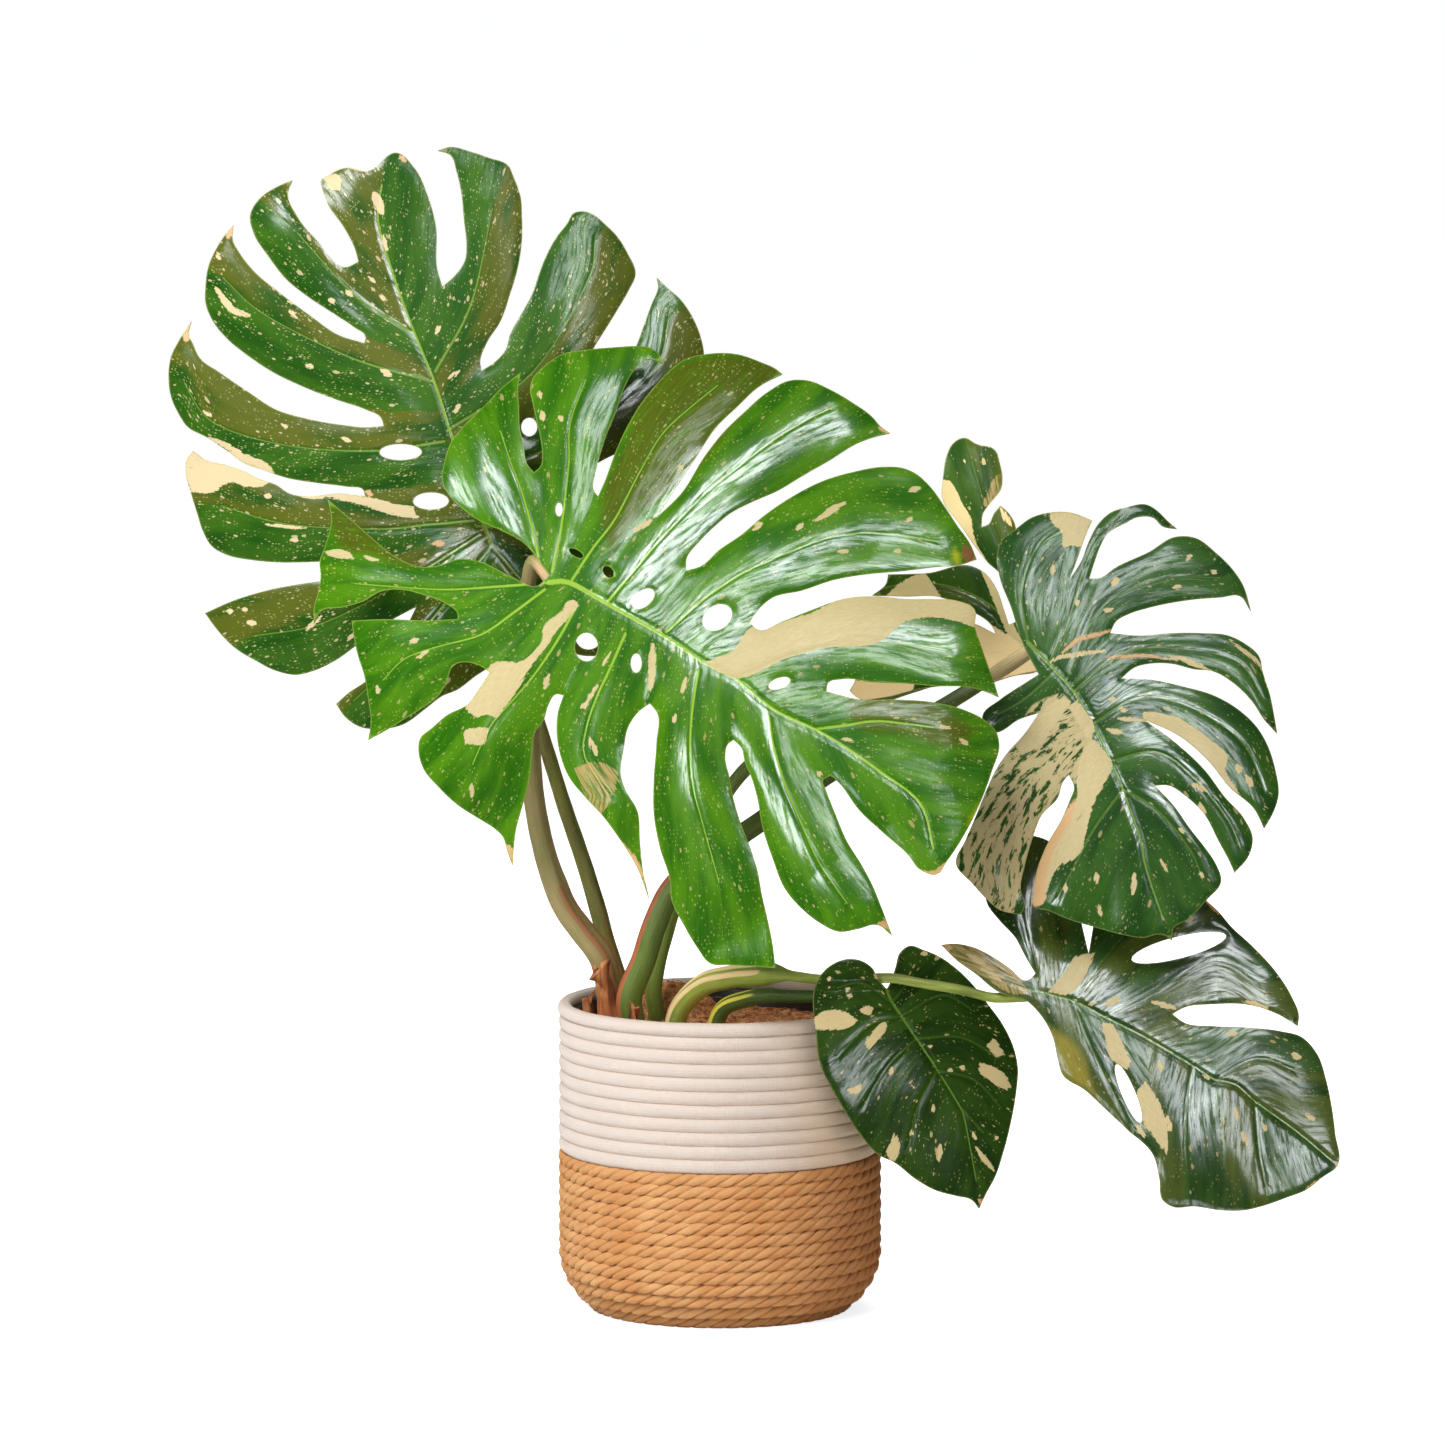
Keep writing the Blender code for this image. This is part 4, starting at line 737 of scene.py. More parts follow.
            (0, 103, 227, 110, 230, 114, 228, 112, 223, 106, 224),
            (0, 122, 219, 124, 215, 118, 205, 111, 197, 108, 200, 114, 211),
            (0, 199, 199, 205, 205, 213, 192, 208, 190),
            (0, 193, 187, 202, 184, 212, 178, 219, 165, 212, 166, 202, 172, 194, 178),
            (0, 94, 167, 106, 172, 103, 165, 98, 164),
            (0, 130, 135, 134, 127, 133, 119, 129, 111, 124, 119, 127, 127),
            (1.6, 128, 184, 127, 178), (2.3, 164, 125, 163, 113), (1.4, 189, 134, 191, 128),
            (1.7, 191, 123, 198, 113, 205, 105), (1.5, 143, 136, 142, 132), (1.5, 206, 130, 208, 128),
            (1.8, 94, 243, 96, 241), (1.6, 80, 251, 82, 250), (1.6, 81, 244, 82, 244),
            (1.5, 94, 238, 98, 237), (1.4, 170, 182, 173, 180), (1.7, 179, 183, 183, 182),
            (2, 115, 255, 118, 250), (1.5, 159, 155, 159, 150), (1.4, 143, 170, 144, 168),
            (1.4, 156, 200, 157, 198), (1.4, 150, 268, 154, 268),
        ]),
        ("peach", [
            (2.2, 194, 83, 199, 79),
        ]),
    ],
}

print("marks drawn:", sum(len(group) for marks in MARKS.values() for _, group in marks))

# %% [markdown]
# Smooth edges from a few points
#
# A leaf's edge is a smooth curve with a few sharp turns at the foot of each cut. A curve that passes through
# every drawn point keeps the drawing true. Where the drawing turns by more than 75 degrees, the curve is
# allowed to break, or the cuts would end in round bulbs.

# %% Curves through drawn points
SHARP_TURN = math.radians(75)


def flat(numbers):
    """The points of a drawing, from x and h in turn."""
    return [Vector(pair) for pair in zip(numbers[::2], numbers[1::2])]


def heading(before, here, after, leaving):
    """The direction of the curve at a drawn point. At a sharp turn it differs on the two sides."""
    into, out = here - before, after - here
    if into.angle(out) > SHARP_TURN:
        return (out if leaving else into).normalized()
    return (into.normalized() * out.length + out.normalized() * into.length).normalized()


def curved(points, every):
    """A closed outline as short steps along a curve through its points."""
    line = []
    count = len(points)
    for index in range(count):
        before, start, end, after = (points[(index + shift) % count] for shift in (-1, 0, 1, 2))
        span = (end - start).length
        leave = heading(before, start, end, True) * span
        arrive = heading(start, end, after, False) * span
        steps = max(1, round(span / every))
        for number in range(steps):
            t = number / steps
            line.append(
                start * (2 * t ** 3 - 3 * t ** 2 + 1) + leave * (t ** 3 - 2 * t ** 2 + t)
                + end * (3 * t ** 2 - 2 * t ** 3) + arrive * (t ** 3 - t ** 2)
            )
    return line


def between(before, start, end, after, t):
    """The place at a share t of the way from start to end, on a smooth curve through four points."""
    pull = (end - before) * t + (before * 2 - start * 5 + end * 4 - after) * t ** 2
    return start + 0.5 * (pull + (start * 3 - before - end * 3 + after) * t ** 3)


def open_curve(points, every):
    """The same for a vein, which has two ends."""
    first, last = points[0] * 2 - points[1], points[-1] * 2 - points[-2]
    ends = [first] + points + [last]
    line = []
    for before, start, end, after in zip(ends, ends[1:], ends[2:], ends[3:]):
        steps = max(1, round((end - start).length / every))
        line += [between(before, start, end, after, number / steps) for number in range(steps)]
    return line + [points[-1]]


def oval(hole, sides):
    """The points round a hole."""
    x, h, half_length, half_width, slant = hole
    turn = Matrix.Rotation(math.radians(slant), 2)
    points = []
    for number in range(sides):
        angle = math.tau * number / sides
        spoke = Vector((half_length * math.cos(angle), half_width * math.sin(angle)))
        points.append(Vector((x, h)) + turn @ spoke)
    return points


sample = curved(flat(LEAVES["leaf_front"]["outline"]), 2.6)
print("the front leaf's outline has", len(sample), "steps")

# %% [markdown]
# Measuring on the drawing
#
# The relief and the markings both depend on how far a place is from a vein or an edge. These sums run over
# all points of a blade at once, because a blade has tens of thousands of them.

# %% Distances for many points at once
def table(points):
    """Points as the rows of an array."""
    return np.array([tuple(place) for place in points])


def to_line(points, line):
    """For each point: its distance from a line, how far along the line that is, and on which side."""
    line = table(line)
    nearest = np.full(len(points), 1e9)
    along, side = np.zeros(len(points)), np.zeros(len(points))
    done = 0.0
    for start, end in zip(line, line[1:]):
        run = end - start
        length = float(np.hypot(*run))
        if length < 1e-6:
            continue
        share = np.clip((points - start) @ run / length ** 2, 0, 1)
        offset = points - start - share[:, None] * run
        distance = np.hypot(offset[:, 0], offset[:, 1])
        nearer = distance < nearest
        nearest[nearer] = distance[nearer]
        along[nearer] = done + share[nearer] * length
        side[nearer] = np.sign(run[0] * offset[nearer, 1] - run[1] * offset[nearer, 0])
        done += length
    return nearest, along, side


def from_edges(points, loops):
    """How far each point lies from the nearest edge. The edges are dense, so their points stand for them."""
    dense = []
    for loop in loops:
        for start, end in zip(loop, loop[1:] + loop[:1]):
            dense += [start.lerp(end, share) for share in (0.0, 0.25, 0.5, 0.75)]
    near = KDTree(len(dense))
    for index, place in enumerate(dense):
        near.insert((place.x, place.y, 0), index)
    near.balance()
    return np.array([near.find((x, h, 0))[2] for x, h in points])


def within(points, loop):
    """Whether each point lies inside a closed loop."""
    loop = table(loop)
    found = np.zeros(len(points), bool)
    for first, second in zip(loop, np.roll(loop, -1, axis=0)):
        if first[1] == second[1]:
            continue
        crosses = (first[1] > points[:, 1]) != (second[1] > points[:, 1])
        reach = first[0] + (points[:, 1] - first[1]) / (second[1] - first[1]) * (second[0] - first[0])
        found ^= crosses & (points[:, 0] < reach)
    return found


print("inside a square:", within(np.array([[1.0, 1.0], [5.0, 1.0]]), flat((0, 0, 2, 0, 2, 2, 0, 2))))

# %% [markdown]
# How a blade lies in the room
#
# The CAD part already says how each blade leans, cups, arches over its veins and droops. The same rule is
# used here, so the fine blade covers the coarse one. Its lobes arch a little less, because the steep ones
# mirror the light only in narrow bands along the veins. On top come the things too small for the CAD: the
# veins lie in troughs, the blade swells beside them, and its margin turns back a little.

# %% The blade's face
LOBE_REACH, FLAT_MIDDLE, WAVE_HEIGHT = 22.0, 60.0, 2.5
ARCH_SHARE, ARCH_LIMIT = 0.6, 2.9
BLADE_THICKNESS = 1.0
VEIN_TROUGH, MIDRIB_TROUGH = 0.5, 1.0
SWELL = 0.12
MARGIN_FALL, MARGIN_REACH = 0.9, 2.5
SOFTENING = 3.0


def blade_forward(leaf, points, veins, midrib, edges):
    """How far forward the blade's face lies at each point of its drawing."""
    across = points[:, 0] - leaf["junction"][0]
    up = points[:, 1] - leaf["junction"][1]
    from_stalk = np.hypot(across, up)
    from_midrib = to_line(points, midrib)[0]
    gaps = np.array([to_line(points, vein)[0] for vein in veins] + [from_midrib])
    nearest = gaps.min(axis=0)
    near_vein = nearest - SOFTENING * np.log(np.exp(-(gaps - nearest) / SOFTENING).sum(axis=0))
    near_vein = np.maximum(near_vein, 0)
    forward = leaf["forward"] + leaf["lean"][0] * across + leaf["lean"][1] * up
    forward -= leaf["cup"] * (from_midrib / 100) ** 2
    arched = (near_vein / LOBE_REACH) ** 2
    arched /= (1 + (arched / ARCH_LIMIT) ** 4) ** 0.25
    forward -= leaf["arch"] * ARCH_SHARE * arched * np.minimum(from_midrib / FLAT_MIDDLE, 1)
    forward -= leaf["droop"] * (from_stalk / 100) ** 2
    wave = np.sin(across / 27 + 0.6) * np.cos(up / 33)
    forward += WAVE_HEIGHT * wave * np.minimum(from_stalk / 90, 1)
    parted = np.tanh(-across / 4) * np.clip((up - 6) / 6, 0, 1)
    forward += leaf.get("parting", 0) * parted
    lateral = gaps[:-1].min(axis=0)
    trough = VEIN_TROUGH * np.exp(-(lateral / 1.3) ** 2) + MIDRIB_TROUGH * np.exp(-(from_midrib / 1.9) ** 2)
    trough -= SWELL * np.exp(-((nearest - 4.5) / 2.6) ** 2)
    forward -= trough * np.minimum(from_stalk / 14, 1)
    return forward - MARGIN_FALL * np.exp(-from_edges(points, edges) / MARGIN_REACH)


print("a vein lies", VEIN_TROUGH, "mm deep and the midrib", MIDRIB_TROUGH, "mm")

# %% [markdown]
# Filling the outline
#
# A blade is a thin sheet with a free outline and holes, so it is filled with small triangles that keep the
# outline exactly. Rows of points follow each vein and its two banks, an even pattern of points fills the
# rest, and a Delaunay fill joins them. A grid cut along the outline would leave a ragged edge. The sheet is
# then thickened backwards with the solidify operator.

# %% Points and triangles of a blade
ROW_SHARE = 0.866
VEIN_BANKS = (0.0, 1.5, -1.5, 3.2, -3.2)
VEIN_MARGIN, EDGE_MARGIN = 4.2, 0.8
CROWDED = 1.1
PITCH_SHARE = 0.6


def even_points(loops, pitch):
    """A pattern of equilateral triangles over the box round the blade's outline."""
    low = Vector((min(p.x for p in loops[0]), min(p.y for p in loops[0])))
    high = Vector((max(p.x for p in loops[0]), max(p.y for p in loops[0])))
    places = []
    rows = int((high.y - low.y) / (pitch * ROW_SHARE)) + 1
    for row in range(rows):
        h = low.y + row * pitch * ROW_SHARE
        places += [(x + pitch * 0.5 * (row % 2), h) for x in np.arange(low.x, high.x, pitch)]
    return np.array(places)


def clear_of(points, lines, margin):
    """The points that keep a margin from all these lines."""
    gaps = np.min([to_line(points, line)[0] for line in lines], axis=0)
    return points[gaps > margin]


def vein_points(veins, loops, banks):
    """Points on each vein and on lines beside it, inside the blade and not crowded."""
    places = []
    for vein in veins:
        line = np.array([tuple(a.lerp(b, t)) for a, b in zip(vein, vein[1:]) for t in (0.0, 0.5)])
        run = np.gradient(line, axis=0)
        run /= np.hypot(run[:, 0], run[:, 1])[:, None]
        square = np.stack([-run[:, 1], run[:, 0]], axis=1)
        places += [line + square * bank for bank in banks]
    places = np.concatenate(places)
    places = places[within(places, loops[0])]
    places = places[from_edges(places, loops) > EDGE_MARGIN]
    kept, taken = [], set()
    for x, h in places:
        cell = (round(x / CROWDED), round(h / CROWDED))
        if cell not in taken:
            taken.add(cell)
            kept.append((x, h))
    return np.array(kept)


def blade_sheet(leaf, loops, veins, midrib, marks, pitch):
    """The drawing's points and triangles, from the outline, the veins, the marks and the even pattern."""
    edges, outline = [], []
    for loop in loops:
        start = len(outline)
        outline += [tuple(place) for place in loop]
        edges += [(start + number, start + (number + 1) % len(loop)) for number in range(len(loop))]
    ribs = vein_points([midrib] + veins, loops, VEIN_BANKS)
    streaks = [open_curve(flat(mark[1:]), pitch) for _, group in marks for mark in group if mark[0]]
    inner = even_points(loops, pitch)
    inner = inner[within(inner, loops[0])]
    inner = clear_of(inner, [midrib] + veins, VEIN_MARGIN)
    inner = inner[from_edges(inner, loops) > pitch * PITCH_SHARE]
    if streaks:
        middles = vein_points(streaks, loops, (0.0,))
        middles = clear_of(middles, [midrib] + veins, VEIN_MARGIN)
        inner = clear_of(inner, streaks, pitch * PITCH_SHARE)
        inner = np.concatenate([inner, middles])
    places = outline + [tuple(place) for place in ribs] + [tuple(place) for place in inner]
    filled = delaunay_2d_cdt([Vector(place) for place in places], edges, [], 0, 0.0001, False)
    corners = table(filled[0])
    triangles = np.array(filled[2])
    middle = corners[triangles].mean(axis=1)
    kept = within(middle, loops[0])
    for loop in loops[1:]:
        kept &= ~within(middle, loop)
    return corners, triangles[kept]


print("a blade is filled at a pitch of a few millimetres")

# %% [markdown]
# What each place of a blade knows
#
# The finish has to follow the veins, which no texture space knows of. So each place carries a few
# measurements: where it lies along and across its nearest vein, how far it is from the midrib, the vein and
# the edge, and how deep inside each kind of mark it is. Painting pictures would fix the detail; measured
# fields stay sharp at any distance.

# %% Fields on a blade
MARK_DEPTH = 12.0
EXTRA_RUN = 80.0
SEED_STEP = 437.0
MIDRIB_TAPER = 2.6
OUT_OF_REACH = 1000.0


def mark_field(points, marks, kind):
    """How many millimetres each point lies inside the marks of one kind. Outside it is negative."""
    field = np.full(len(points), -MARK_DEPTH)
    for half, *numbers in (mark for colour, group in marks if colour == kind for mark in group):
        places = flat(numbers)
        low = table(places).min(axis=0) - MARK_DEPTH
        high = table(places).max(axis=0) + MARK_DEPTH
        near = np.all((points > low) & (points < high), axis=1)
        if half:
            line = open_curve(places, 2.0)
            length = sum((b - a).length for a, b in zip(line, line[1:]))
            gap, along, _ = to_line(points[near], line)
            depth = half * (0.45 + 0.7 * np.sin(math.pi * along / length)) - gap
        else:
            loop = curved(places, 2.5)
            gap = to_line(points[near], loop + loop[:1])[0]
            depth = np.where(within(points[near], loop), gap, -gap)
        field[near] = np.maximum(field[near], depth)
    return field


def beside_vein(points, vein):
    """Where points lie along a vein, and how far beside it, square to the line between its ends."""
    line = table(vein) - np.array(vein[0])
    run = line[-1] / np.hypot(*line[-1])
    square = np.array((-run[1], run[0]))
    from_start = points - np.array(vein[0])
    along = from_start @ run
    bend = np.interp(along, np.maximum.accumulate(line @ run), line @ square)
    return along, from_start @ square - bend


def shine_at(points, veins, midrib, shares):
    """How strongly points mirror: the share of each vein's left or right side, the nearest veins most."""
    half = to_line(points, midrib)[2]
    tip_half = to_line(table(vein[-1] for vein in veins), midrib)[2]
    total, weights = 0.0, 1e-12
    for vein, tip, (left, right) in zip(veins, tip_half, shares):
        gap, _, side = to_line(points, vein)
        weight = (half * tip >= 0) / (gap + 2) ** 4
        total = total + weight * np.where(side > 0, left, right)
        weights = weights + weight
    return total / weights


def store(mesh, name, columns, domain="POINT"):
    """Keep three numbers for each point or corner of a mesh."""
    values = np.stack(columns, axis=1).astype(np.float32)
    layer = mesh.attributes.new(name, "FLOAT_VECTOR", domain)
    layer.data.foreach_set("vector", values.ravel())


def store_fields(mesh, marks, loops, veins, midrib, shares):
    """Measure a finished blade and keep the results on it."""
    places = np.zeros(len(mesh.vertices) * 3)
    mesh.vertices.foreach_get("co", places)
    places = places.reshape(-1, 3) / MM
    drawn = np.stack([places[:, 0], places[:, 2] * VIEW_COSINE + places[:, 1] * VIEW_SINE], axis=1)
    fields = {kind: mark_field(drawn, marks, kind) for kind in MARK_KINDS}
    from_midrib, along_midrib, _ = to_line(drawn, midrib)
    from_midrib *= np.interp(along_midrib, (0, along_midrib.max()), (1, MIDRIB_TAPER))
    from_vein = np.min([to_line(drawn, vein)[0] for vein in veins], axis=0)
    store(mesh, "lines", (from_midrib, from_vein, from_edges(drawn, loops)))
    store(mesh, "marks", (fields["cream"], fields["peach"], fields["mottle"]))
    store(mesh, "tints", (fields["painted_shade_patch"], fields["yellow"], fields["fawn"]))
    store(mesh, "spots", (fields["brown"], places[:, 0], places[:, 2]))
    corner_count = len(mesh.loops)
    corners = np.zeros(corner_count, np.int32)
    mesh.loops.foreach_get("vertex_index", corners)
    sizes = np.zeros(len(mesh.polygons), np.int32)
    mesh.polygons.foreach_get("loop_total", sizes)
    owners = np.repeat(np.arange(len(sizes)), sizes)
    middles = np.zeros((len(sizes), 2))
    np.add.at(middles, owners, drawn[corners])
    middles /= sizes[:, None]
    tip_half = to_line(table(vein[-1] for vein in veins), midrib)[2]
    far_half = to_line(middles, midrib)[2] * tip_half[:, None] < 0
    gaps = np.array([to_line(middles, vein)[0] for vein in veins]) + OUT_OF_REACH * far_half
    owner = np.argmin(gaps, axis=0)[owners]
    shine = shine_at(middles, veins, midrib, shares)[owners]
    along, across = np.zeros(corner_count), np.zeros(corner_count)
    for number, vein in enumerate(veins):
        mine = owner == number
        along[mine], across[mine] = beside_vein(drawn[corners[mine]], vein)
    store(mesh, "veined", (along + EXTRA_RUN + owner * SEED_STEP, across, shine), "CORNER")


MARK_KINDS = ("cream", "peach", "mottle", "painted_shade_patch", "yellow", "fawn", "brown")
# How bright each half lobe shines, left and right of its vein as seen from the midrib.
SHINE = {
    "leaf_front": [
        (1, 0.3), (0.25, 0.5), (0, 0.15), (1, 1), (0.5, 0.65), (0.9, 0.45), (0.3, 0.1), (0.02, 0.15),
        (0.02, 0.05), (0.15, 0.1), (0.2, 0.15), (0.5, 1), (0.4, 1),
    ],
    "leaf_back": [
        (0.4, 0.8), (0.15, 0.2), (0.1, 0.1), (0.2, 0.1), (0.9, 0.6), (0.5, 0.5), (0.1, 0.05), (0.3, 0.2),
        (0.5, 0.4), (0.3, 0.3), (0.3, 0.3),
    ],
    "leaf_right": [
        (0.25, 0.35), (0.4, 0.4), (0.4, 0.2), (0.4, 0.3), (0.8, 0.35), (0.8, 0.35), (0.8, 0.2), (0.3, 0.3),
        (0.4, 0.4), (1, 0.3),
    ],
    "leaf_far_right": [(0.05, 0.05), (0.5, 0.6)],
    "leaf_low": [
        (0.6, 0.6), (0.7, 0.8), (0.8, 0.7), (0.6, 0.5), (0.2, 0.2), (0.4, 0.4), (0.7, 0.5), (0.6, 0.5),
    ],
    "leaf_young": [(0.6, 0.6), (0.9, 0.9), (0.9, 0.9), (0.5, 0.7)] + [(0.1, 0.1)] * 5,
}
print("kinds of marks:", ", ".join(MARK_KINDS))

# %% Build a blade
def add_piece(name, shape, replaced, smooth=True):
    """Turn a finished shape into a piece, which may stand in for a node of the CAD part."""
    for face in shape.faces:
        face.smooth = smooth
    made = add_object(name, to_mesh(name, shape))
    if replaced:
        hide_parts(replaced)
    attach(made, "root")
    return made


VEIN_STEP = 5.0
HOLE_SIDES = 24
PITCH = {
    "leaf_front": 2.5, "leaf_back": 2.8, "leaf_right": 2.6, "leaf_far_right": 3.2, "leaf_low": 2.6,
    "leaf_young": 2.2,
}
# Two holes of the front leaf show white in the photograph, so the leaf behind it is open there too.
MORE_HOLES = {"leaf_back": [(-99, 505, 10, 10, 0), (-120, 598, 6, 8, 0)]}


def blade(node):
    """One leaf blade: drawn, filled, bent, thickened backwards and measured."""
    leaf = LEAVES[node]
    pitch = PITCH[node]
    loops = [curved(flat(leaf["outline"]), pitch)]
    loops += [oval(hole, HOLE_SIDES) for hole in leaf["holes"] + MORE_HOLES.get(node, [])]
    veins = [open_curve(flat(vein), VEIN_STEP) for vein in leaf["veins"]]
    midrib = open_curve(flat(leaf["midrib"]), VEIN_STEP)
    corners, triangles = blade_sheet(leaf, loops, veins, midrib, MARKS[node], pitch)
    forward = blade_forward(leaf, corners, veins, midrib, loops)
    sheet = bmesh.new()
    placed = [sheet.verts.new(seen(x, h, f)) for (x, h), f in zip(corners, forward)]
    for triangle in triangles:
        sheet.faces.new([placed[index] for index in triangle])
    loose = [vertex for vertex in sheet.verts if not vertex.link_faces]
    bmesh.ops.delete(sheet, geom=loose, context="VERTS")
    bmesh.ops.recalc_face_normals(sheet, faces=sheet.faces)
    if sum(face.normal.y * face.calc_area() for face in sheet.faces) > 0:
        bmesh.ops.reverse_faces(sheet, faces=sheet.faces)
    bmesh.ops.solidify(sheet, geom=sheet.faces[:], thickness=BLADE_THICKNESS * MM)
    bmesh.ops.recalc_face_normals(sheet, faces=sheet.faces)
    for face in sheet.faces:
        face.material_index = 1 if face.normal.y > 0.25 else 0
    made = add_piece(node.replace("leaf", "blade"), sheet, node)
    made.data.set_sharp_from_angle(angle=math.radians(50))
    store_fields(made.data, MARKS[node], loops, veins, midrib, SHINE[node])
    return made


blades = {node: blade(node) for node in LEAVES}
for node, made in blades.items():
    print(node, "has", len(made.data.polygons), "faces")

# %% [markdown]
# The leaf's finish
#
# A leaf of this kind is deep green with paler veins, broken by cream where the tissue lacks its green. The
# finish is built up in the order in which the plant builds it: the green with its fine streaks along the
# veins, the paler veins, then speckles, sectors of cream and peach, and the dry brown spots. All of it hangs
# on the measurements that each blade carries, so the dashes run with the veins and end at them.
#
# It is a node group, because six leaves share it with their own colours.

# %% The leaf markings as a node group
leaf_marks, taken, given = new_group(
    "leaf markings",
    {
        "Color": ("Light", "Dark", "Vein", "Cream", "Painted Shade", "Peach"),
        "Float": ("Speckle", "Half Lobe Shade", "Laterals", "Midrib"),
        "Vector": ("Veined", "Lines", "Marks", "Tints", "Spots"),
    },
    {"Color": ("Color",), "Float": ("Roughness", "Height", "Coat")},
)
tree = leaf_marks
FIELDS = ("Veined", "Lines", "Marks", "Tints", "Spots")
veined, lines, marks, tints, spots = (split(tree, taken[label]) for label in FIELDS)

# The streaks part a little from the vein on both sides, as the fine side veins do.
parting = times(tree, veined[0], 0.12)
beside_vein_mm = minus(tree, figure(tree, "ABSOLUTE", veined[1]), parting)
far_side = times(tree, figure(tree, "GREATER_THAN", veined[1], 0.0), 61.0)
place = add(tree, "ShaderNodeCombineXYZ", veined[0], plus(tree, beside_vein_mm, far_side)).outputs[0]

broad = long_grain(tree, place, (0.016, 0.06, 1), 2.0)
streaks = long_grain(tree, place, (0.05, 0.55, 1), 3.0, 0.6)
fine = long_grain(tree, place, (0.16, 1.9, 1), 2.0, 0.6)
brushed = long_grain(tree, place, (0.045, 0.32, 1), 4.0, 0.7)
torn = minus(tree, long_grain(tree, place, (0.35, 0.6, 1), 2.0), 0.5)

green = mix(tree, step(tree, broad, 0.35, 0.65), taken["Dark"], taken["Light"])
green = mix(tree, step(tree, streaks, 0.42, 0.75, 0.0, 0.45), green, taken["Light"])
green = mix(tree, step(tree, fine, 0.35, 0.65, 0.35, 0.0), green, taken["Dark"])

# Half of a lobe may be painted olive-brown, from the vein to its upper edge: painted shade on that half.
one_side = step(tree, plus(tree, veined[1], times(tree, streaks, 4.0)), -1.0, 4.0, 1.0, 0.0)
half_lobe_shade = times(tree, times(tree, one_side, taken["Half Lobe Shade"]), step(tree, broad, 0.30, 0.55))
green = mix(tree, half_lobe_shade, green, srgb(92, 88, 26))
# The drawn olive patches are painted shade: the green turns to a streaky olive there.
painted_shade_patch = plus(tree, tints[0], times(tree, streaks, 6.0))
painted_shade_tone = mix(tree, step(tree, streaks, 0.45, 0.7, 0.0, 0.5), taken["Painted Shade"], taken["Light"])
green = mix(tree, step(tree, painted_shade_patch, 0.5, 9.0, 0.0, 0.9), green, painted_shade_tone)
yellow = plus(tree, tints[1], times(tree, streaks, 6.0))
green = mix(tree, step(tree, yellow, 1.5, 9.0, 0.0, 0.75), green, srgb(172, 176, 34))

# Veins are paler, and taper towards the lobe's tip. Beside them the green is painted darker: painted shade in
# the troughs.
run = minus(tree, figure(tree, "MODULO", veined[0], SEED_STEP), EXTRA_RUN)
vein_width = step(tree, run, 0.0, 110.0, 0.95, 0.30)
past_vein = minus(tree, lines[1], vein_width)
on_vein = step(tree, past_vein, -0.4, 0.5, 1.0, 0.0)
on_midrib = step(tree, minus(tree, lines[0], taken["Midrib"]), -0.4, 0.7, 1.0, 0.0)
painted_crease_shade = step(tree, past_vein, 0.3, 2.6, 0.40, 0.0)
green = mix(tree, painted_crease_shade, green, taken["Dark"])
green = mix(tree, times(tree, on_vein, taken["Laterals"]), green, taken["Vein"])
green = mix(tree, times(tree, on_midrib, 0.85), green, taken["Vein"])


def dashes(along, across, share, size):
    """Short dashes along the veins: some cells of a stretched cell pattern carry one."""
    stretched = stretch(tree, place, along, across, 1)
    cells = add(tree, "ShaderNodeTexVoronoi", stretched, None, 1.0, voronoi_dimensions="2D")
    luck = split(tree, cells.outputs["Color"])
    carries = figure(tree, "LESS_THAN", luck[0], share)
    radius = times(tree, plus(tree, luck[1], 0.35), size)
    radius = plus(tree, radius, times(tree, torn, size * 0.9))
    inside = step(tree, minus(tree, cells.outputs["Distance"], radius), -0.05, 0.03, 1.0, 0.0)
    return times(tree, inside, carries)


# The speckles: many fine dashes, fewer long ones, thicker in some stretches than in others.
crowd = step(tree, long_grain(tree, place, (0.03, 0.09, 1), 2.0), 0.36, 0.62, 0.25, 1.0)
often = times(tree, taken["Speckle"], crowd)
small = dashes(0.36, 0.80, times(tree, often, 0.44), 0.27)
larger = dashes(0.17, 0.36, times(tree, often, 0.20), 0.24)
rare = dashes(0.08, 0.17, times(tree, often, 0.07), 0.20)
pale_green = mix(tree, 0.45, taken["Cream"], taken["Vein"])
painted = mix(tree, times(tree, small, 0.62), green, pale_green)
flecks = figure(tree, "MAXIMUM", larger, rare)
painted = mix(tree, times(tree, flecks, 0.80), painted, mix(tree, 0.15, taken["Cream"], pale_green))

# The sectors: a drawn field whose edge frays along the veins, with green threads left inside.
fray = times(tree, minus(tree, streaks, 0.5), 7.0)
fray_fine = times(tree, minus(tree, fine, 0.5), 2.0)
frayed = plus(tree, plus(tree, fray, fray_fine), times(tree, torn, 3.5))


def sector(field, low, high, strength=1.0):
    """A drawn field with a frayed edge, as a share between 0 and a strength."""
    edge = plus(tree, field, times(tree, frayed, step(tree, field, -4.0, 3.0)))
    return step(tree, edge, low, high, 0.0, strength)


cream_share = sector(marks[0], -0.25, 0.25)
threads = step(tree, plus(tree, streaks, times(tree, fine, 0.3)), 0.83, 0.87, 0.0, 0.8)
deep = step(tree, marks[0], 2.5, 5.0)
cream_share = minus(tree, cream_share, times(tree, threads, deep))
cream_share = figure(tree, "MAXIMUM", cream_share, 0.0)
cream_shade = mix(tree, fine, taken["Cream"], srgb(208, 194, 152))
fawn_share = times(tree, sector(tints[2], -0.4, 0.6), step(tree, streaks, 0.38, 0.56, 0.15, 0.9))
painted = mix(tree, fawn_share, painted, mix(tree, fine, srgb(180, 156, 106), srgb(140, 130, 70)))
painted = mix(tree, cream_share, painted, cream_shade)

# Where a lobe is mottled, half of it is cream in small torn flecks.
mottle_pattern = long_grain(tree, place, (0.06, 0.20, 1), 4.0, 0.65)
mottle = times(tree, step(tree, mottle_pattern, 0.43, 0.49), step(tree, marks[2], 0.0, 2.0))
painted = mix(tree, times(tree, mottle, 0.9), painted, cream_shade)

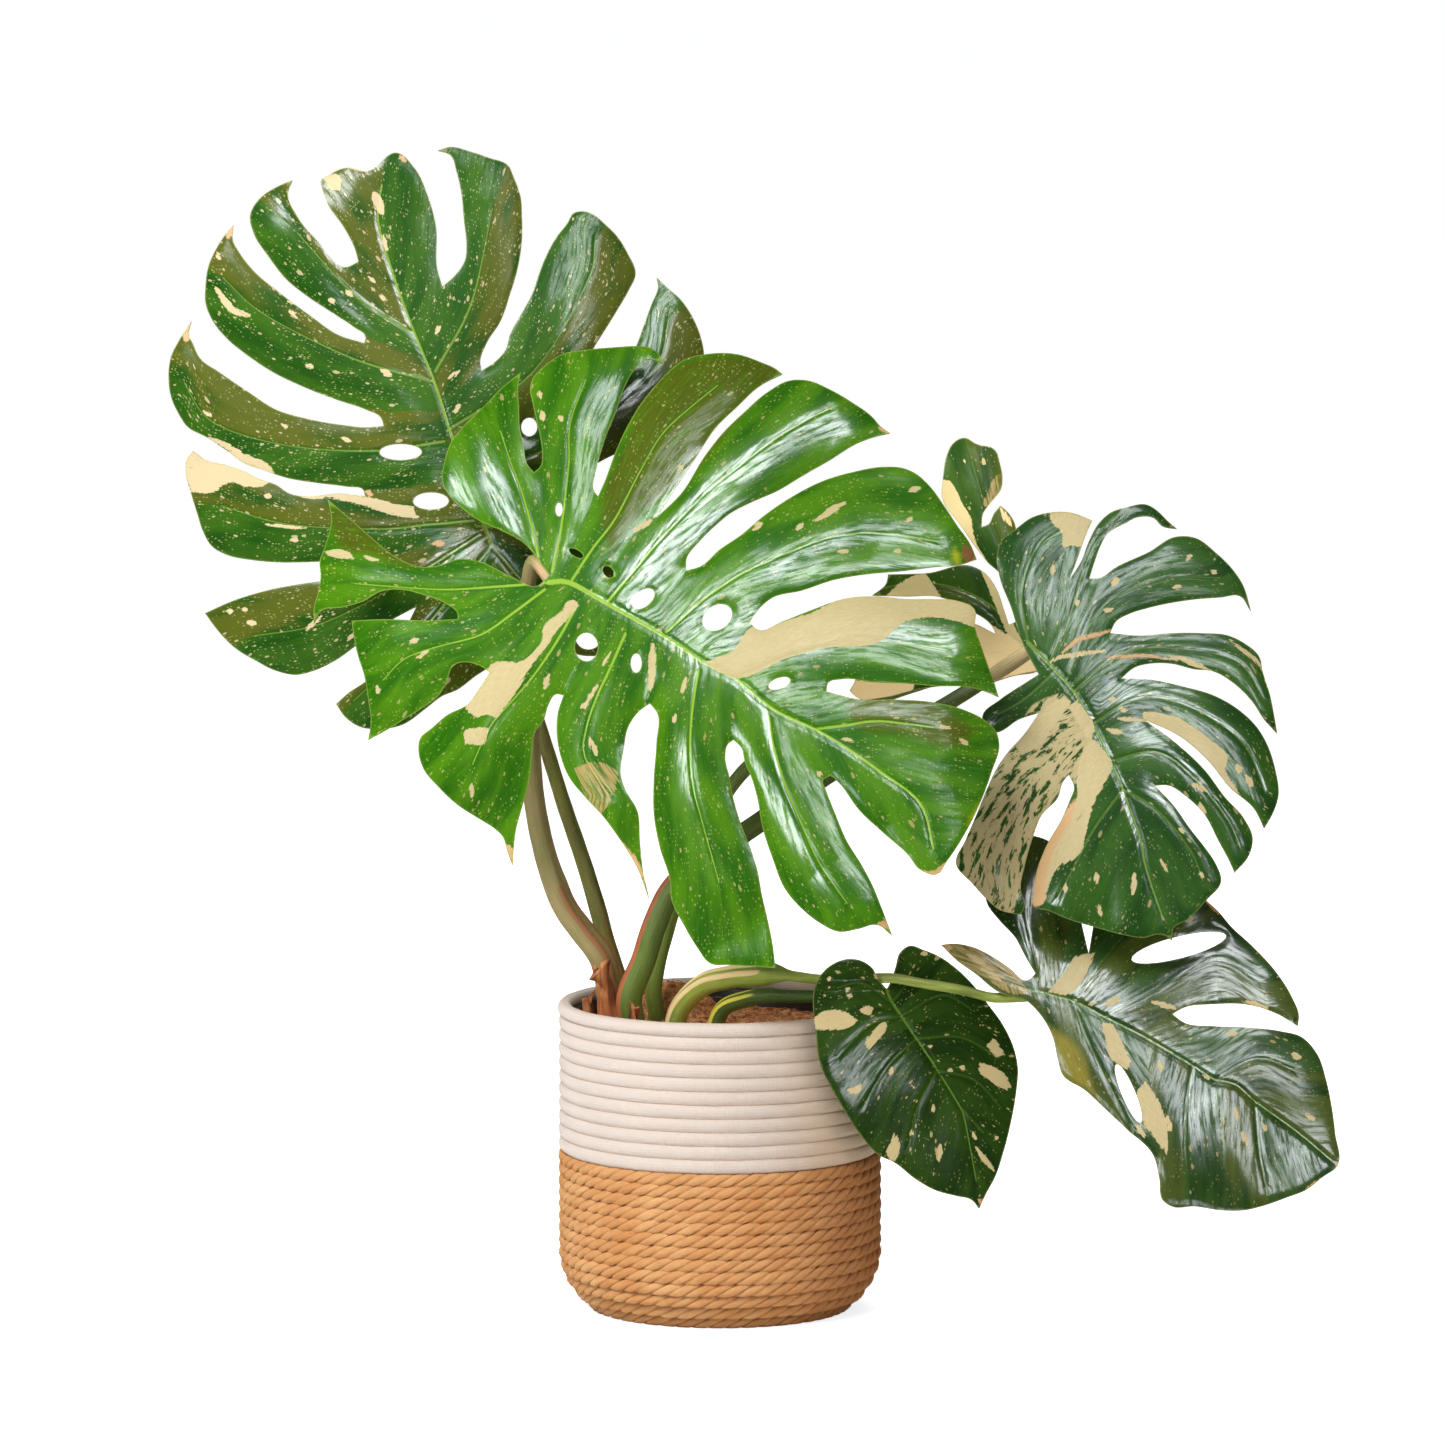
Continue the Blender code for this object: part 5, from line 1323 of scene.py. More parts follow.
peach_shade = mix(tree, times(tree, streaks, 0.6), taken["Peach"], taken["Cream"])
painted = mix(tree, sector(marks[1], -0.6, 0.8, 0.92), painted, peach_shade)
painted = mix(tree, sector(spots[0], -0.6, 0.8, 0.9), painted, srgb(122, 84, 52))

# The margin is a hair paler all round.
margin = step(tree, lines[2], 0.35, 1.1, 0.40, 0.0)
painted = mix(tree, margin, painted, mix(tree, 0.5, taken["Vein"], taken["Cream"]))
tree.links.new(painted, given["Color"])

# The wax shines in brushed streaks, more on some half lobes than on others, and hardly on the pale marks.
pale = figure(tree, "MAXIMUM", figure(tree, "MAXIMUM", cream_share, mottle), sector(marks[1], -0.6, 0.8))
shine = times(tree, veined[2], minus(tree, 1.0, times(tree, pale, 0.92)))
rubbed = times(tree, step(tree, brushed, 0.35, 0.65, 0.22, 0.34), shine)
tree.links.new(minus(tree, 0.52, rubbed), given["Roughness"])
tree.links.new(times(tree, step(tree, brushed, 0.38, 0.58, 0.08, 1.0), shine), given["Coat"])
pucker = long_grain(tree, place, (0.10, 0.26, 1), 3.0, 0.55)
height = plus(tree, times(tree, streaks, 0.45), times(tree, pucker, 0.55))
height = plus(tree, height, times(tree, fine, 0.10))
tree.links.new(height, given["Height"])
print("the leaf group has", len(tree.nodes), "nodes")

# %% [markdown]
# Six leaves, six greens
#
# The front leaf faces the light and is the brightest. The one behind it is darker, the right one bluer and
# the low one almost grey. The underside is matt and paler on all of them.

# %% Leaf materials
SHADES, AMOUNTS = ("Light", "Dark", "Vein", "Cream"), ("Speckle", "Half Lobe Shade", "Laterals", "Midrib")
LEAF_LOOKS = {
    "leaf_front": ((74, 126, 12), (34, 90, 4), (140, 180, 54), (154, 146, 96), 0.58, 0.0, 0.8, 1.8),
    "leaf_back": ((56, 98, 20), (26, 72, 12), (122, 156, 60), (188, 172, 138), 0.75, 0.65, 0.6, 1.6),
    "leaf_right": ((50, 90, 28), (24, 62, 18), (104, 138, 56), (156, 147, 106), 0.46, 0.0, 0.4, 1.4),
    "leaf_far_right": ((60, 94, 24), (32, 66, 14), (100, 126, 54), (212, 194, 130), 0.25, 0.3, 0.3, 1.0),
    "leaf_low": ((54, 84, 34), (27, 56, 19), (88, 116, 46), (158, 146, 104), 0.46, 0.3, 0.3, 1.1),
    "leaf_young": ((46, 78, 16), (24, 52, 8), (96, 136, 44), (188, 172, 122), 0.42, 0.0, 0.22, 0.9),
}
# The far-right leaf's peach is painted lighter than the others': painted light where it lies in shade.
PEACH, PEACH_PAINTED_LIGHTER = srgb(212, 168, 124), srgb(255, 222, 172)
# The colours of the painted shade patches; the low leaf's is paler.
PAINTED_SHADE_OLIVE, PALE_PAINTED_SHADE_OLIVE = srgb(72, 80, 12), srgb(134, 124, 46)
BUMP_DEPTH = 0.22 * MM
FAR_GLOW = 0.3


def leaf_material(node):
    """The upper side of a leaf: glossy, with its markings."""
    made, tree, shader, _ = new_material(node.replace("leaf", "upper_side"))
    values = {label: stored(tree, label.lower()) for label in FIELDS}
    values["Painted Shade"] = PALE_PAINTED_SHADE_OLIVE if node == "leaf_low" else PAINTED_SHADE_OLIVE
    values["Peach"] = PEACH_PAINTED_LIGHTER if node == "leaf_far_right" else PEACH
    shades, amounts = LEAF_LOOKS[node][:4], LEAF_LOOKS[node][4:]
    values.update(zip(SHADES, (srgb(*shade) for shade in shades)))
    values.update(zip(AMOUNTS, amounts))
    look = place_group(tree, leaf_marks, values)
    bump(tree, shader, look["Height"], BUMP_DEPTH, 0.8)
    feed_all(tree, shader.inputs, {
        "Base Color": look["Color"], "Roughness": look["Roughness"], "Coat Weight": look["Coat"],
        "Specular IOR Level": 0.05, "Coat Roughness": 0.15, "Coat IOR": 1.7,
    })
    if node == "leaf_far_right":
        # Light falls through the pale tissue from behind. A solid blade can't show it, so it glows a little.
        feed_all(tree, shader.inputs, {"Emission Color": look["Color"], "Emission Strength": FAR_GLOW})
    return made


def underside_material():
    """The back of a leaf: matt, grey-green, with faint streaks and raised, paler ribs."""
    made, tree, shader, _ = new_material("underside")
    streak = long_grain(tree, stored(tree, "veined"), (0.04, 0.4, 0), 3.0)
    lines = split(tree, stored(tree, "lines"))
    on_midrib = step(tree, lines[0], 1.4, 3.4, 1.0, 0.0)
    rib = figure(tree, "MAXIMUM", on_midrib, step(tree, lines[1], 0.4, 1.8, 0.6, 0.0))
    colour = mix(tree, step(tree, streak, 0.3, 0.7), srgb(92, 118, 66), srgb(116, 140, 84))
    colour = mix(tree, rib, colour, srgb(158, 182, 108))
    feed_all(tree, shader.inputs, {"Base Color": colour, "Roughness": 0.62})
    bump(tree, shader, plus(tree, rib, times(tree, streak, 0.3)), 0.8 * MM)
    return made


underside = underside_material()
for node, made in blades.items():
    made.data.materials.append(leaf_material(node))
    made.data.materials.append(underside)
print("leaf materials:", len(blades))

# %% [markdown]
# The stalks
#
# A leaf stalk of this kind is round below, with a groove on its upper side between two ridges. In its lower
# part the ridges widen into the wings of a sheath whose edges dry out brown. Just below the blade it swells
# into a knee that turns the leaf to the light. Each stalk is one ring of points drawn out along its route and
# reshaped as it goes. A pipe along a curve would be quicker, but it stays round all the way.
#
# Below, radii are those at the foot and at the top, and the route gives the places (x, h, forward) that the
# stalk passes. One stalk has a sheath as thick as its foot, which ends at the share sheath_end of its length.

# %% Where the stalks run
STALKS = {
    "petiole_back": {
        "leaf": "leaf_back",
        "pit": (-68, -24),
        "radii": (7.0, 4.0),
        "route": [
            (-78, 250, -24), (-85, 272, -25), (-93, 301, -27), (-103, 335, -31), (-116, 373, -37),
            (-131, 421, -46), (-146, 470, -55), (-160, 520, -62), (-168, 552, -62),
        ],
    },
    "petiole_front": {
        "leaf": "leaf_front",
        "pit": (-79, 12),
        "radii": (10.0, 5.0),
        "route": [
            (-84, 245, 14), (-90, 265, 16), (-105, 285, 18), (-119, 306, 20), (-131, 341, 20),
            (-139, 382, 18), (-142, 425, 15), (-143, 470, 12), (-144, 512, 12), (-143, 545, 20),
            (-137, 560, 32),
        ],
    },
    "petiole_right": {
        "leaf": "leaf_right",
        "pit": (-66, 46),
        "radii": (10.5, 5.0),
        "route": [
            (-68, 235, 46), (-58, 261, 44), (-49, 289, 42), (-35, 317, 38), (-8, 340, 32), (24, 362, 26),
            (79, 400, 14), (130, 430, 4), (178, 459, -4), (208, 478, -8),
        ],
    },
    "petiole_far_right": {
        "leaf": "leaf_far_right",
        "pit": (-48, -6),
        "radii": (6.5, 4.0),
        "route": [
            (-50, 240, -8), (-42, 278, -14), (-24, 330, -26), (13, 398, -44), (60, 432, -62),
            (120, 458, -78), (178, 477, -84), (214, 488, -78),
        ],
    },
    "petiole_low": {
        "leaf": "leaf_low",
        "pit": (-34, 38),
        "radii": (8.5, 3.5),
        "route": [
            (-27, 230, 40), (-11, 244, 48), (8, 249, 60), (26, 251, 70), (46, 252, 77), (73, 249, 86),
            (100, 249, 92.5), (118, 250, 100), (130, 250, 103), (152, 246, 99), (180, 241, 88),
            (204, 235, 74),
        ],
        "sheath_end": 0.36,
    },
    "petiole_young": {
        "leaf": "leaf_young",
        "pit": (-4, 66),
        "radii": (6.8, 3.0),
        "route": [(2, 226, 68), (17, 233, 74), (33, 236, 79), (55, 236, 82), (85, 236, 84), (106, 235, 87)],
    },
}

SOIL_EDGE, SOIL_CROWN = 213.0, 217.0
POT_TOP, POT_FOOT_RADIUS, POT_MOUTH_RADIUS = 226.0, 84.0, 105.0
FLOOR_THICKNESS, PIT_DEPTH, GAP = 9.0, 30.0, 0.3
SEAT_GAP, SEAT_APPROACH = 0.5, 9.0


def pot_radius(height):
    """The nursery pot's inner radius at a height."""
    share = (height - FLOOR_THICKNESS) / (POT_TOP - FLOOR_THICKNESS)
    return POT_FOOT_RADIUS + (POT_MOUTH_RADIUS - POT_FOOT_RADIUS) * share


def soil_level(x, forward):
    """The height of the level soil, a little crowned in the middle."""
    share = min(math.hypot(x, forward) / pot_radius(SOIL_EDGE), 1.0)
    return SOIL_CROWN + (SOIL_EDGE - SOIL_CROWN) * share ** 2


def blade_seat(leaf, depth):
    """The place depth mm behind the blade's face at the junction, square to the blade."""
    x, h = leaf["junction"]
    reach = 2.0
    veins = [open_curve(flat(vein), 3.0) for vein in leaf["veins"]]
    midrib = open_curve(flat(leaf["midrib"]), 3.0)
    places = np.array([(x, h), (x + reach, h), (x, h + reach)], float)
    forward = blade_forward(leaf, places, veins, midrib, [flat(leaf["outline"])])
    here, right, up = (seen(a, b, f) for (a, b), f in zip(places, forward))
    out = (right - here).cross(up - here).normalized()
    return here - out * depth * MM


def smooth_route(foot, places, every):
    """A straight foot, then points every so many metres along a smooth curve through the places."""
    ends = [foot] + places + [places[-1] * 2 - places[-2]]
    route = [foot, places[0]]
    for before, start, end, after in zip(ends, ends[1:], ends[2:], ends[3:]):
        steps = max(1, round((end - start).length / every))
        route += [between(before, start, end, after, number / steps) for number in range(1, steps + 1)]
    return route


def stalk_route(stalk, every):
    """A stalk's middle line, from its pit in the soil to the back of its blade."""
    leaf = LEAVES[stalk["leaf"]]
    x, forward = stalk["pit"]
    foot = Vector((x, -forward, SOIL_CROWN - PIT_DEPTH + GAP)) * MM
    places = [Vector((x, -forward, soil_level(x, forward) + 3)) * MM]
    places += [seen(*place) for place in stalk["route"]]
    places.append(blade_seat(leaf, BLADE_THICKNESS + SEAT_GAP + SEAT_APPROACH))
    places.append(blade_seat(leaf, BLADE_THICKNESS + SEAT_GAP))
    return smooth_route(foot, places, every)


STALK_STEP = 4 * MM
routes = {name: stalk_route(stalk, STALK_STEP) for name, stalk in STALKS.items()}
print("the front stalk has", len(routes["petiole_front"]), "steps")

# %% Draw a ring out along each route
STALK_SIDES = 24
GROOVE_WIDTH, RIDGE_TURN, RIDGE_WIDTH = 0.36, 0.72, 0.26
WING_FADE = 0.05
UNEVENNESS = 0.35
WINGED = {
    "petiole_back": (0.30, 0.16), "petiole_front": (0.34, 0.16), "petiole_right": (0.42, 0.15),
    "petiole_far_right": (0.25, 0.12), "petiole_low": (0.37, 0.42), "petiole_young": (0.45, 0.22),
}
UPPER_SIDE = {"petiole_back": (1, -0.25, 0), "petiole_front": (1, -0.45, 0)}
KNEE_PLACE, KNEE_LENGTH, KNEE_SWELL = 0.945, 0.035, 0.16


def outline_factor(turn, share, wing_end, wing_height):
    """How far the skin lies from the middle at a turn from the groove, as a factor of the radius."""
    turn = math.atan2(math.sin(turn), math.cos(turn))
    fade = min(max((wing_end - share) / WING_FADE, 0.0), 1.0)
    near_end = math.exp(-((share - wing_end + 0.04) / WING_FADE) ** 2)
    wing = 0.05 + wing_height * fade * (0.55 + 0.45 * near_end)
    ridge = math.exp(-((abs(turn) - RIDGE_TURN) / RIDGE_WIDTH) ** 2)
    groove = math.exp(-(turn / GROOVE_WIDTH) ** 2)
    return 1 + wing * ridge - (0.13 + 0.25 * wing) * groove


def stalk_radius(stalk, share):
    """The radius in mm at a share of the length, with the knee below the blade."""
    thick, thin = stalk["radii"]
    radius = thick + (thin - thick) * share
    sheath_end = stalk.get("sheath_end")
    if sheath_end:
        shrink = min(max((share - sheath_end + 0.04) / 0.05, 0), 1)
        radius = thick * 0.94 + (thin + 0.5 * (1 - share) - thick * 0.94) * shrink
    return radius * (1 + KNEE_SWELL * math.exp(-((share - KNEE_PLACE) / KNEE_LENGTH) ** 2))


def grow_ring(shape, edges):
    """Draw a ring of edges out of itself: the new ring's points and edges."""
    made = bmesh.ops.extrude_edge_only(shape, edges=edges)["geom"]
    ring = [part for part in made if isinstance(part, bmesh.types.BMVert)]
    kept = set(ring)
    return ring, [p for p in made if isinstance(p, bmesh.types.BMEdge) and all(v in kept for v in p.verts)]


def stalk_shape(name, stalk, route):
    """The ring at the foot, extruded step by step; the middle line carries the groove's direction with it."""
    shape = bmesh.new()
    turn_layer = shape.verts.layers.float.new("turn")
    grown = shape.verts.layers.float_vector.new("grown")
    ring = bmesh.ops.create_circle(shape, segments=STALK_SIDES, radius=MM, cap_ends=True)["verts"]
    for vertex in ring:
        vertex[turn_layer] = math.atan2(vertex.co.y, vertex.co.x)
    wing_end, wing_height = WINGED[name]
    upper = Vector(UPPER_SIDE.get(name, (-1, 0, 0))).normalized()
    edges = list(shape.edges)
    run = 0.0
    for index, place in enumerate(route):
        ahead = route[min(index + 1, len(route) - 1)] - route[max(index - 1, 0)]
        tangent = ahead.normalized()
        upper = (upper - tangent * upper.dot(tangent)).normalized()
        beside = tangent.cross(upper)
        share = index / (len(route) - 1)
        if index:
            run += (place - route[index - 1]).length / MM
            ring, edges = grow_ring(shape, edges)
        radius = stalk_radius(stalk, share)
        for vertex in ring:
            turn = vertex[turn_layer]
            reach = radius * outline_factor(turn, share, wing_end, wing_height)
            spot = Vector((math.cos(turn) * 1.5, math.sin(turn) * 1.5, run / 16))
            out = upper * math.cos(turn) + beside * math.sin(turn)
            vertex.co = place + out * (reach + noise.noise(spot) * UNEVENNESS) * MM
            vertex[grown] = (math.cos(turn), math.sin(turn), run)
    bmesh.ops.contextual_create(shape, geom=edges)
    bmesh.ops.recalc_face_normals(shape, faces=shape.faces)
    return shape


stalks = {}
for name, stalk in STALKS.items():
    shape = stalk_shape(name, stalk, routes[name])
    stalks[name] = add_piece(name.replace("petiole", "stalk"), shape, name)
print("stalks drawn out:", len(stalks))

# %% [markdown]
# The stalks' finish
#
# A stalk is green with fine lengthwise fibres and pale corky specks. Towards the foot it darkens, two stalks
# are pale at the top, painted lighter than their own colour as painted light where they lie in shade, and
# the wings' edges are red-brown or pale yellow. The group reads the turn round the stalk and the run along
# it, so that the fibres follow every bend.

# %% Stalk materials
stalk_marks, taken, given = new_group(
    "stalk markings",
    {
        "Color": ("Green", "Shade", "Edge", "Top"), "Float": ("Edge Share", "Wing Length", "Top Start"),
        "Vector": ("Grown",),
    },
    {"Color": ("Color",), "Float": ("Roughness", "Height")},
)
tree = stalk_marks
grown = split(tree, taken["Grown"])
fibres = long_grain(tree, taken["Grown"], (9.0, 9.0, 0.03), 3.0, 0.6)
clouds = long_grain(tree, taken["Grown"], (0.8, 0.8, 0.02), 3.0, 0.55)
colour = mix(tree, step(tree, clouds, 0.35, 0.68), taken["Green"], taken["Shade"])
colour = mix(tree, step(tree, fibres, 0.35, 0.7, 0.0, 0.45), colour, taken["Shade"])
specks = add(tree, "ShaderNodeTexVoronoi", stretch(tree, taken["Grown"], 3.0, 3.0, 0.16), None, 1.0)
luck = split(tree, specks.outputs["Color"])
on_speck = step(tree, specks.outputs["Distance"], 0.10, 0.20, 1.0, 0.0)
on_speck = times(tree, on_speck, figure(tree, "GREATER_THAN", luck[0], 0.72))
colour = mix(tree, times(tree, on_speck, 0.5), colour, srgb(196, 186, 130))

# The wings' edges lie about 40 degrees either side of the groove, where the cosine is near 0.75.
on_ridge = step(tree, figure(tree, "ABSOLUTE", minus(tree, grown[0], 0.76)), 0.06, 0.30, 1.0, 0.0)
within_wing = step(tree, minus(tree, taken["Wing Length"], grown[2]), -4.0, 14.0)
edge_share = times(tree, times(tree, on_ridge, within_wing), taken["Edge Share"])
ragged = step(tree, plus(tree, edge_share, times(tree, clouds, 0.4)), 0.45, 0.75)
colour = mix(tree, times(tree, ragged, step(tree, edge_share, 0.05, 0.3)), colour, taken["Edge"])
from_foot = plus(tree, grown[2], times(tree, clouds, 30.0))
colour = mix(tree, step(tree, from_foot, 34.0, 75.0, 0.5, 0.0), colour, srgb(96, 88, 44))
above = minus(tree, grown[2], taken["Top Start"])
colour = mix(tree, step(tree, above, -12.0, 6.0), colour, mix(tree, fibres, taken["Top"], taken["Shade"]))
tree.links.new(colour, given["Color"])
tree.links.new(step(tree, fibres, 0.2, 0.8, 0.36, 0.52), given["Roughness"])
tree.links.new(plus(tree, fibres, times(tree, on_speck, 0.3)), given["Height"])

# The green, its shade, the wings' edges and how much of an edge is dry.
STALK_COLOURS = {
    "petiole_back": ((138, 142, 66), (112, 108, 50), (156, 124, 66), 0.5),
    "petiole_front": ((172, 152, 108), (138, 138, 76), (166, 116, 78), 0.9),
    "petiole_right": ((98, 120, 40), (76, 96, 28), (160, 92, 56), 1.0),
    "petiole_far_right": ((126, 150, 62), (100, 124, 44), (150, 140, 66), 0.4),
    "petiole_low": ((170, 186, 84), (112, 136, 46), (232, 204, 150), 1.0),
    "petiole_young": ((82, 110, 36), (46, 74, 22), (206, 196, 66), 1.0),
}
# Two stalks have pale tops, painted lighter than their own colour: painted light where they lie in shade.
TOPS_PAINTED_LIGHTER = {"petiole_front": (34.0, srgb(255, 200, 162)), "petiole_right": (54.0, PEACH_PAINTED_LIGHTER)}


def stalk_material(name):
    """A stalk's skin, with its own colours."""
    *shades, edge_share = STALK_COLOURS[name]
    green, shade, edge = (srgb(*colour) for colour in shades)
    made, tree, shader, _ = new_material(name.replace("petiole", "stalk_skin"))
    length = sum((b - a).length for a, b in zip(routes[name], routes[name][1:])) / MM
    top_length, top = TOPS_PAINTED_LIGHTER.get(name, (-50.0, PEACH))
    values = {
        "Green": green, "Shade": shade, "Edge": edge, "Edge Share": edge_share,
        "Wing Length": length * WINGED[name][0], "Grown": stored(tree, "grown"), "Top": top,
        "Top Start": length - top_length,
    }
    look = place_group(tree, stalk_marks, values)
    feed_all(tree, shader.inputs, {"Base Color": look["Color"], "Roughness": look["Roughness"]})
    bump(tree, shader, look["Height"], 0.5 * MM)
    return made


for name, made in stalks.items():
    made.data.materials.append(stalk_material(name))
print("stalk materials:", len(stalks))

# %% [markdown]
# The basket's outline
#
# A rope basket is one long rope coiled upwards and stitched to itself. The wall stands upright, and below it
# rounds in to a flat foot. Here each turn of the rope is a ring of its own, because a coil climbs only one
# rope's width in a whole turn, which the eye cannot see, and a ring closes cleanly for a stitched top edge.

# %% Basket sizes
BASKET_HEIGHT, BASKET_RADIUS = 233.0, 120.5
TURN_IN_HEIGHT, TURN_IN, TURN_IN_POWER = 46.0, 28.0, 2.4
COLOUR_CHANGE = 120.0
ROPE_WALL = 9.0
JUTE_ROWS, COTTON_RINGS = 13, 11
ROW_CREST = 1.0


def basket_radius(height):
    """The outer radius at a height: upright walls that round in to the flat foot."""
    if height >= TURN_IN_HEIGHT:
        return BASKET_RADIUS
    return BASKET_RADIUS - TURN_IN * (1 - height / TURN_IN_HEIGHT) ** TURN_IN_POWER


def append(shape, part):
    """Add one small shape to a large one. Operators run far faster on a small shape of their own."""
    mesh = to_mesh("part", part)
    shape.from_mesh(mesh)
    bpy.data.meshes.remove(mesh)


def rope_ring(radius, height, half_width, half_height, sides, steps):
    """One turn of rope: a circle, flattened to the rope's section and spun round the pot's axis."""
    turn_of_rope = bmesh.new()
    upright = Matrix.Rotation(math.radians(90), 4, "X")
    squash = Matrix.Diagonal((half_width * MM, half_height * MM, 1, 1))
    stand = Matrix.Translation(Vector((radius, 0, height)) * MM) @ upright @ squash
    bmesh.ops.create_circle(turn_of_rope, segments=sides, radius=1.0, matrix=stand)
    bmesh.ops.spin(
        turn_of_rope, geom=turn_of_rope.verts[:] + turn_of_rope.edges[:], cent=(0, 0, 0), axis=(0, 0, 1),
        angle=math.tau, steps=steps, use_merge=True,
    )
    return turn_of_rope


print("the foot is", round(2 * basket_radius(0)), "mm across")

# %% [markdown]
# The white rope
#
# The upper rope is knitted cotton: smooth, soft and almost round, pressed a little flat where the turns
# touch. It wanders slightly, so each ring is moved by a slow noise. A perfect ring would look like plastic.

# %% Spin the cotton rings
COTTON_FOOT = COLOUR_CHANGE + GAP
cotton_pitch = (BASKET_HEIGHT - COTTON_FOOT) / COTTON_RINGS
ROPE_PRESS = 1.0
COTTON_SIDES, COTTON_STEPS = 14, 200
WANDER_OUT, WANDER_UP = 0.45, 0.3

cotton_shape = bmesh.new()
for ring in range(COTTON_RINGS):
    height = BASKET_HEIGHT - (ring + 0.5) * cotton_pitch
    middle = BASKET_RADIUS + ROW_CREST - ROPE_WALL / 2
    top_ring = ring == 0
    half_width = ROPE_WALL / 2 + (0.8 if top_ring else 0.0)
    half_height = cotton_pitch / 2 + (0.3 if top_ring else ROPE_PRESS)
    height -= 0.3 if top_ring else 0
    append(cotton_shape, rope_ring(middle, height, half_width, half_height, COTTON_SIDES, COTTON_STEPS))
for vertex in cotton_shape.verts:
    turn = math.atan2(vertex.co.y, vertex.co.x)
    ring = (BASKET_HEIGHT - vertex.co.z / MM) // cotton_pitch
    spot = Vector((math.cos(turn) * 5, math.sin(turn) * 5, ring * 3.7))
    out = Vector((math.cos(turn), math.sin(turn), 0))
    vertex.co += out * WANDER_OUT * noise.noise(spot) * MM
    if ring < COTTON_RINGS - 1:
        vertex.co.z += WANDER_UP * noise.noise(spot + Vector((9, 2, 5))) * MM
    vertex.co.z = max(vertex.co.z, COTTON_FOOT * MM)
bmesh.ops.recalc_face_normals(cotton_shape, faces=cotton_shape.faces)
cotton = add_piece("cotton_rope", cotton_shape, "basket_cotton")
print("the cotton rope has", len(cotton.data.polygons), "faces")

# %% [markdown]
# The white rope's finish
#
# Knitted cotton shows small upright ribs, about one and a half millimetres apart, and a soft fuzz. The ribs
# are too fine for the mesh, so they are a bump that counts round the axis. In the creases it is painted
# slightly darker and warmer, as painted shade, and its right side is painted warmer and darker, also as
# painted shade.

# %% Cotton material
cotton_skin, tree, shader, here = new_material("knitted_cotton")
spot = split(tree, here)
turn = figure(tree, "ARCTAN2", spot[1], spot[0])
RIBS_ROUND = 460
ribs = figure(tree, "SINE", times(tree, turn, RIBS_ROUND))
rows = figure(tree, "SINE", times(tree, spot[2], math.tau / (2.1 * MM)))
knit = times(tree, plus(tree, ribs, times(tree, rows, 0.5)), 0.33)
fuzz = grain(tree, here, 900.0, 3.0, 0.7)
cloud = grain(tree, here, 14.0, 3.0)
level = add(tree, "ShaderNodeCombineXYZ", spot[0], spot[1]).outputs[0]
reach = add(tree, "ShaderNodeVectorMath", level, operation="LENGTH").outputs["Value"]
# The creases between the rings are painted darker and warmer: painted shade.
painted_crease_shade = step(tree, reach, (BASKET_RADIUS - 2.6) * MM, (BASKET_RADIUS + 0.9) * MM, 1.0, 0.0)
outside = figure(tree, "GREATER_THAN", reach, (BASKET_RADIUS - 4) * MM)
white = mix(tree, cloud, srgb(198, 187, 180), srgb(208, 199, 193))
white = mix(tree, times(tree, step(tree, fuzz, 0.35, 0.65), 0.10), white, srgb(214, 196, 178))
white = mix(tree, times(tree, times(tree, painted_crease_shade, outside), 0.45), white, srgb(190, 164, 138))
# The right side of the basket is painted warmer and darker: painted shade, as the light comes from the left.
white = mix(tree, step(tree, spot[0], 0.02, 0.112), white, (1.0, 0.86, 0.67, 1), "MULTIPLY")
bump(tree, shader, plus(tree, knit, times(tree, fuzz, 0.6)), 0.35 * MM, 0.8)
feed_all(tree, shader.inputs, {
    "Base Color": white, "Roughness": 0.9, "Specular IOR Level": 0.2, "Sheen Weight": 0.25,
    "Sheen Roughness": 0.5,
})
cotton.data.materials.append(cotton_skin)
print("the knit has", RIBS_ROUND, "ribs round the basket")

# %% [markdown]
# The tan rope
#
# The lower rope is twisted from strands of dried plant fibre, so its surface is a row of slanting bulges with
# dark crevices between them. The bulges are real relief: each section of the rope is swollen or drawn in as
# the strand there is thick or thin, and its points are slid along by their place round the rope, so that the
# mesh runs with the twist. A bump alone would leave the basket's edge smooth against the white.

# %% Spin the jute rows and twist them
JUTE_SIDES, JUTE_STEPS = 12, 480
STRAND_LENGTH = 12.5
STRAND_LEAN = 6.2
STRAND_DEPTH = 1.5
HIDDEN_TURN = math.radians(105)
ROW_SEED = 1000.0
jute_pitch = COLOUR_CHANGE / JUTE_ROWS


def strand_height(run):
    """Between 0 in a crevice and 1 on a strand's back."""
    place = (run / STRAND_LENGTH) % 1.0
    return 1 - abs(2 * place - 1) ** 3.2


def strand_lean(turn):
    """How far a strand has moved on where it lies at a turn round the rope. Out of sight it comes back."""
    if abs(turn) <= HIDDEN_TURN:
        return STRAND_LEAN * turn
    back = (math.pi - abs(turn)) / (math.pi - HIDDEN_TURN)
    return math.copysign(STRAND_LEAN * HIDDEN_TURN * back, turn)


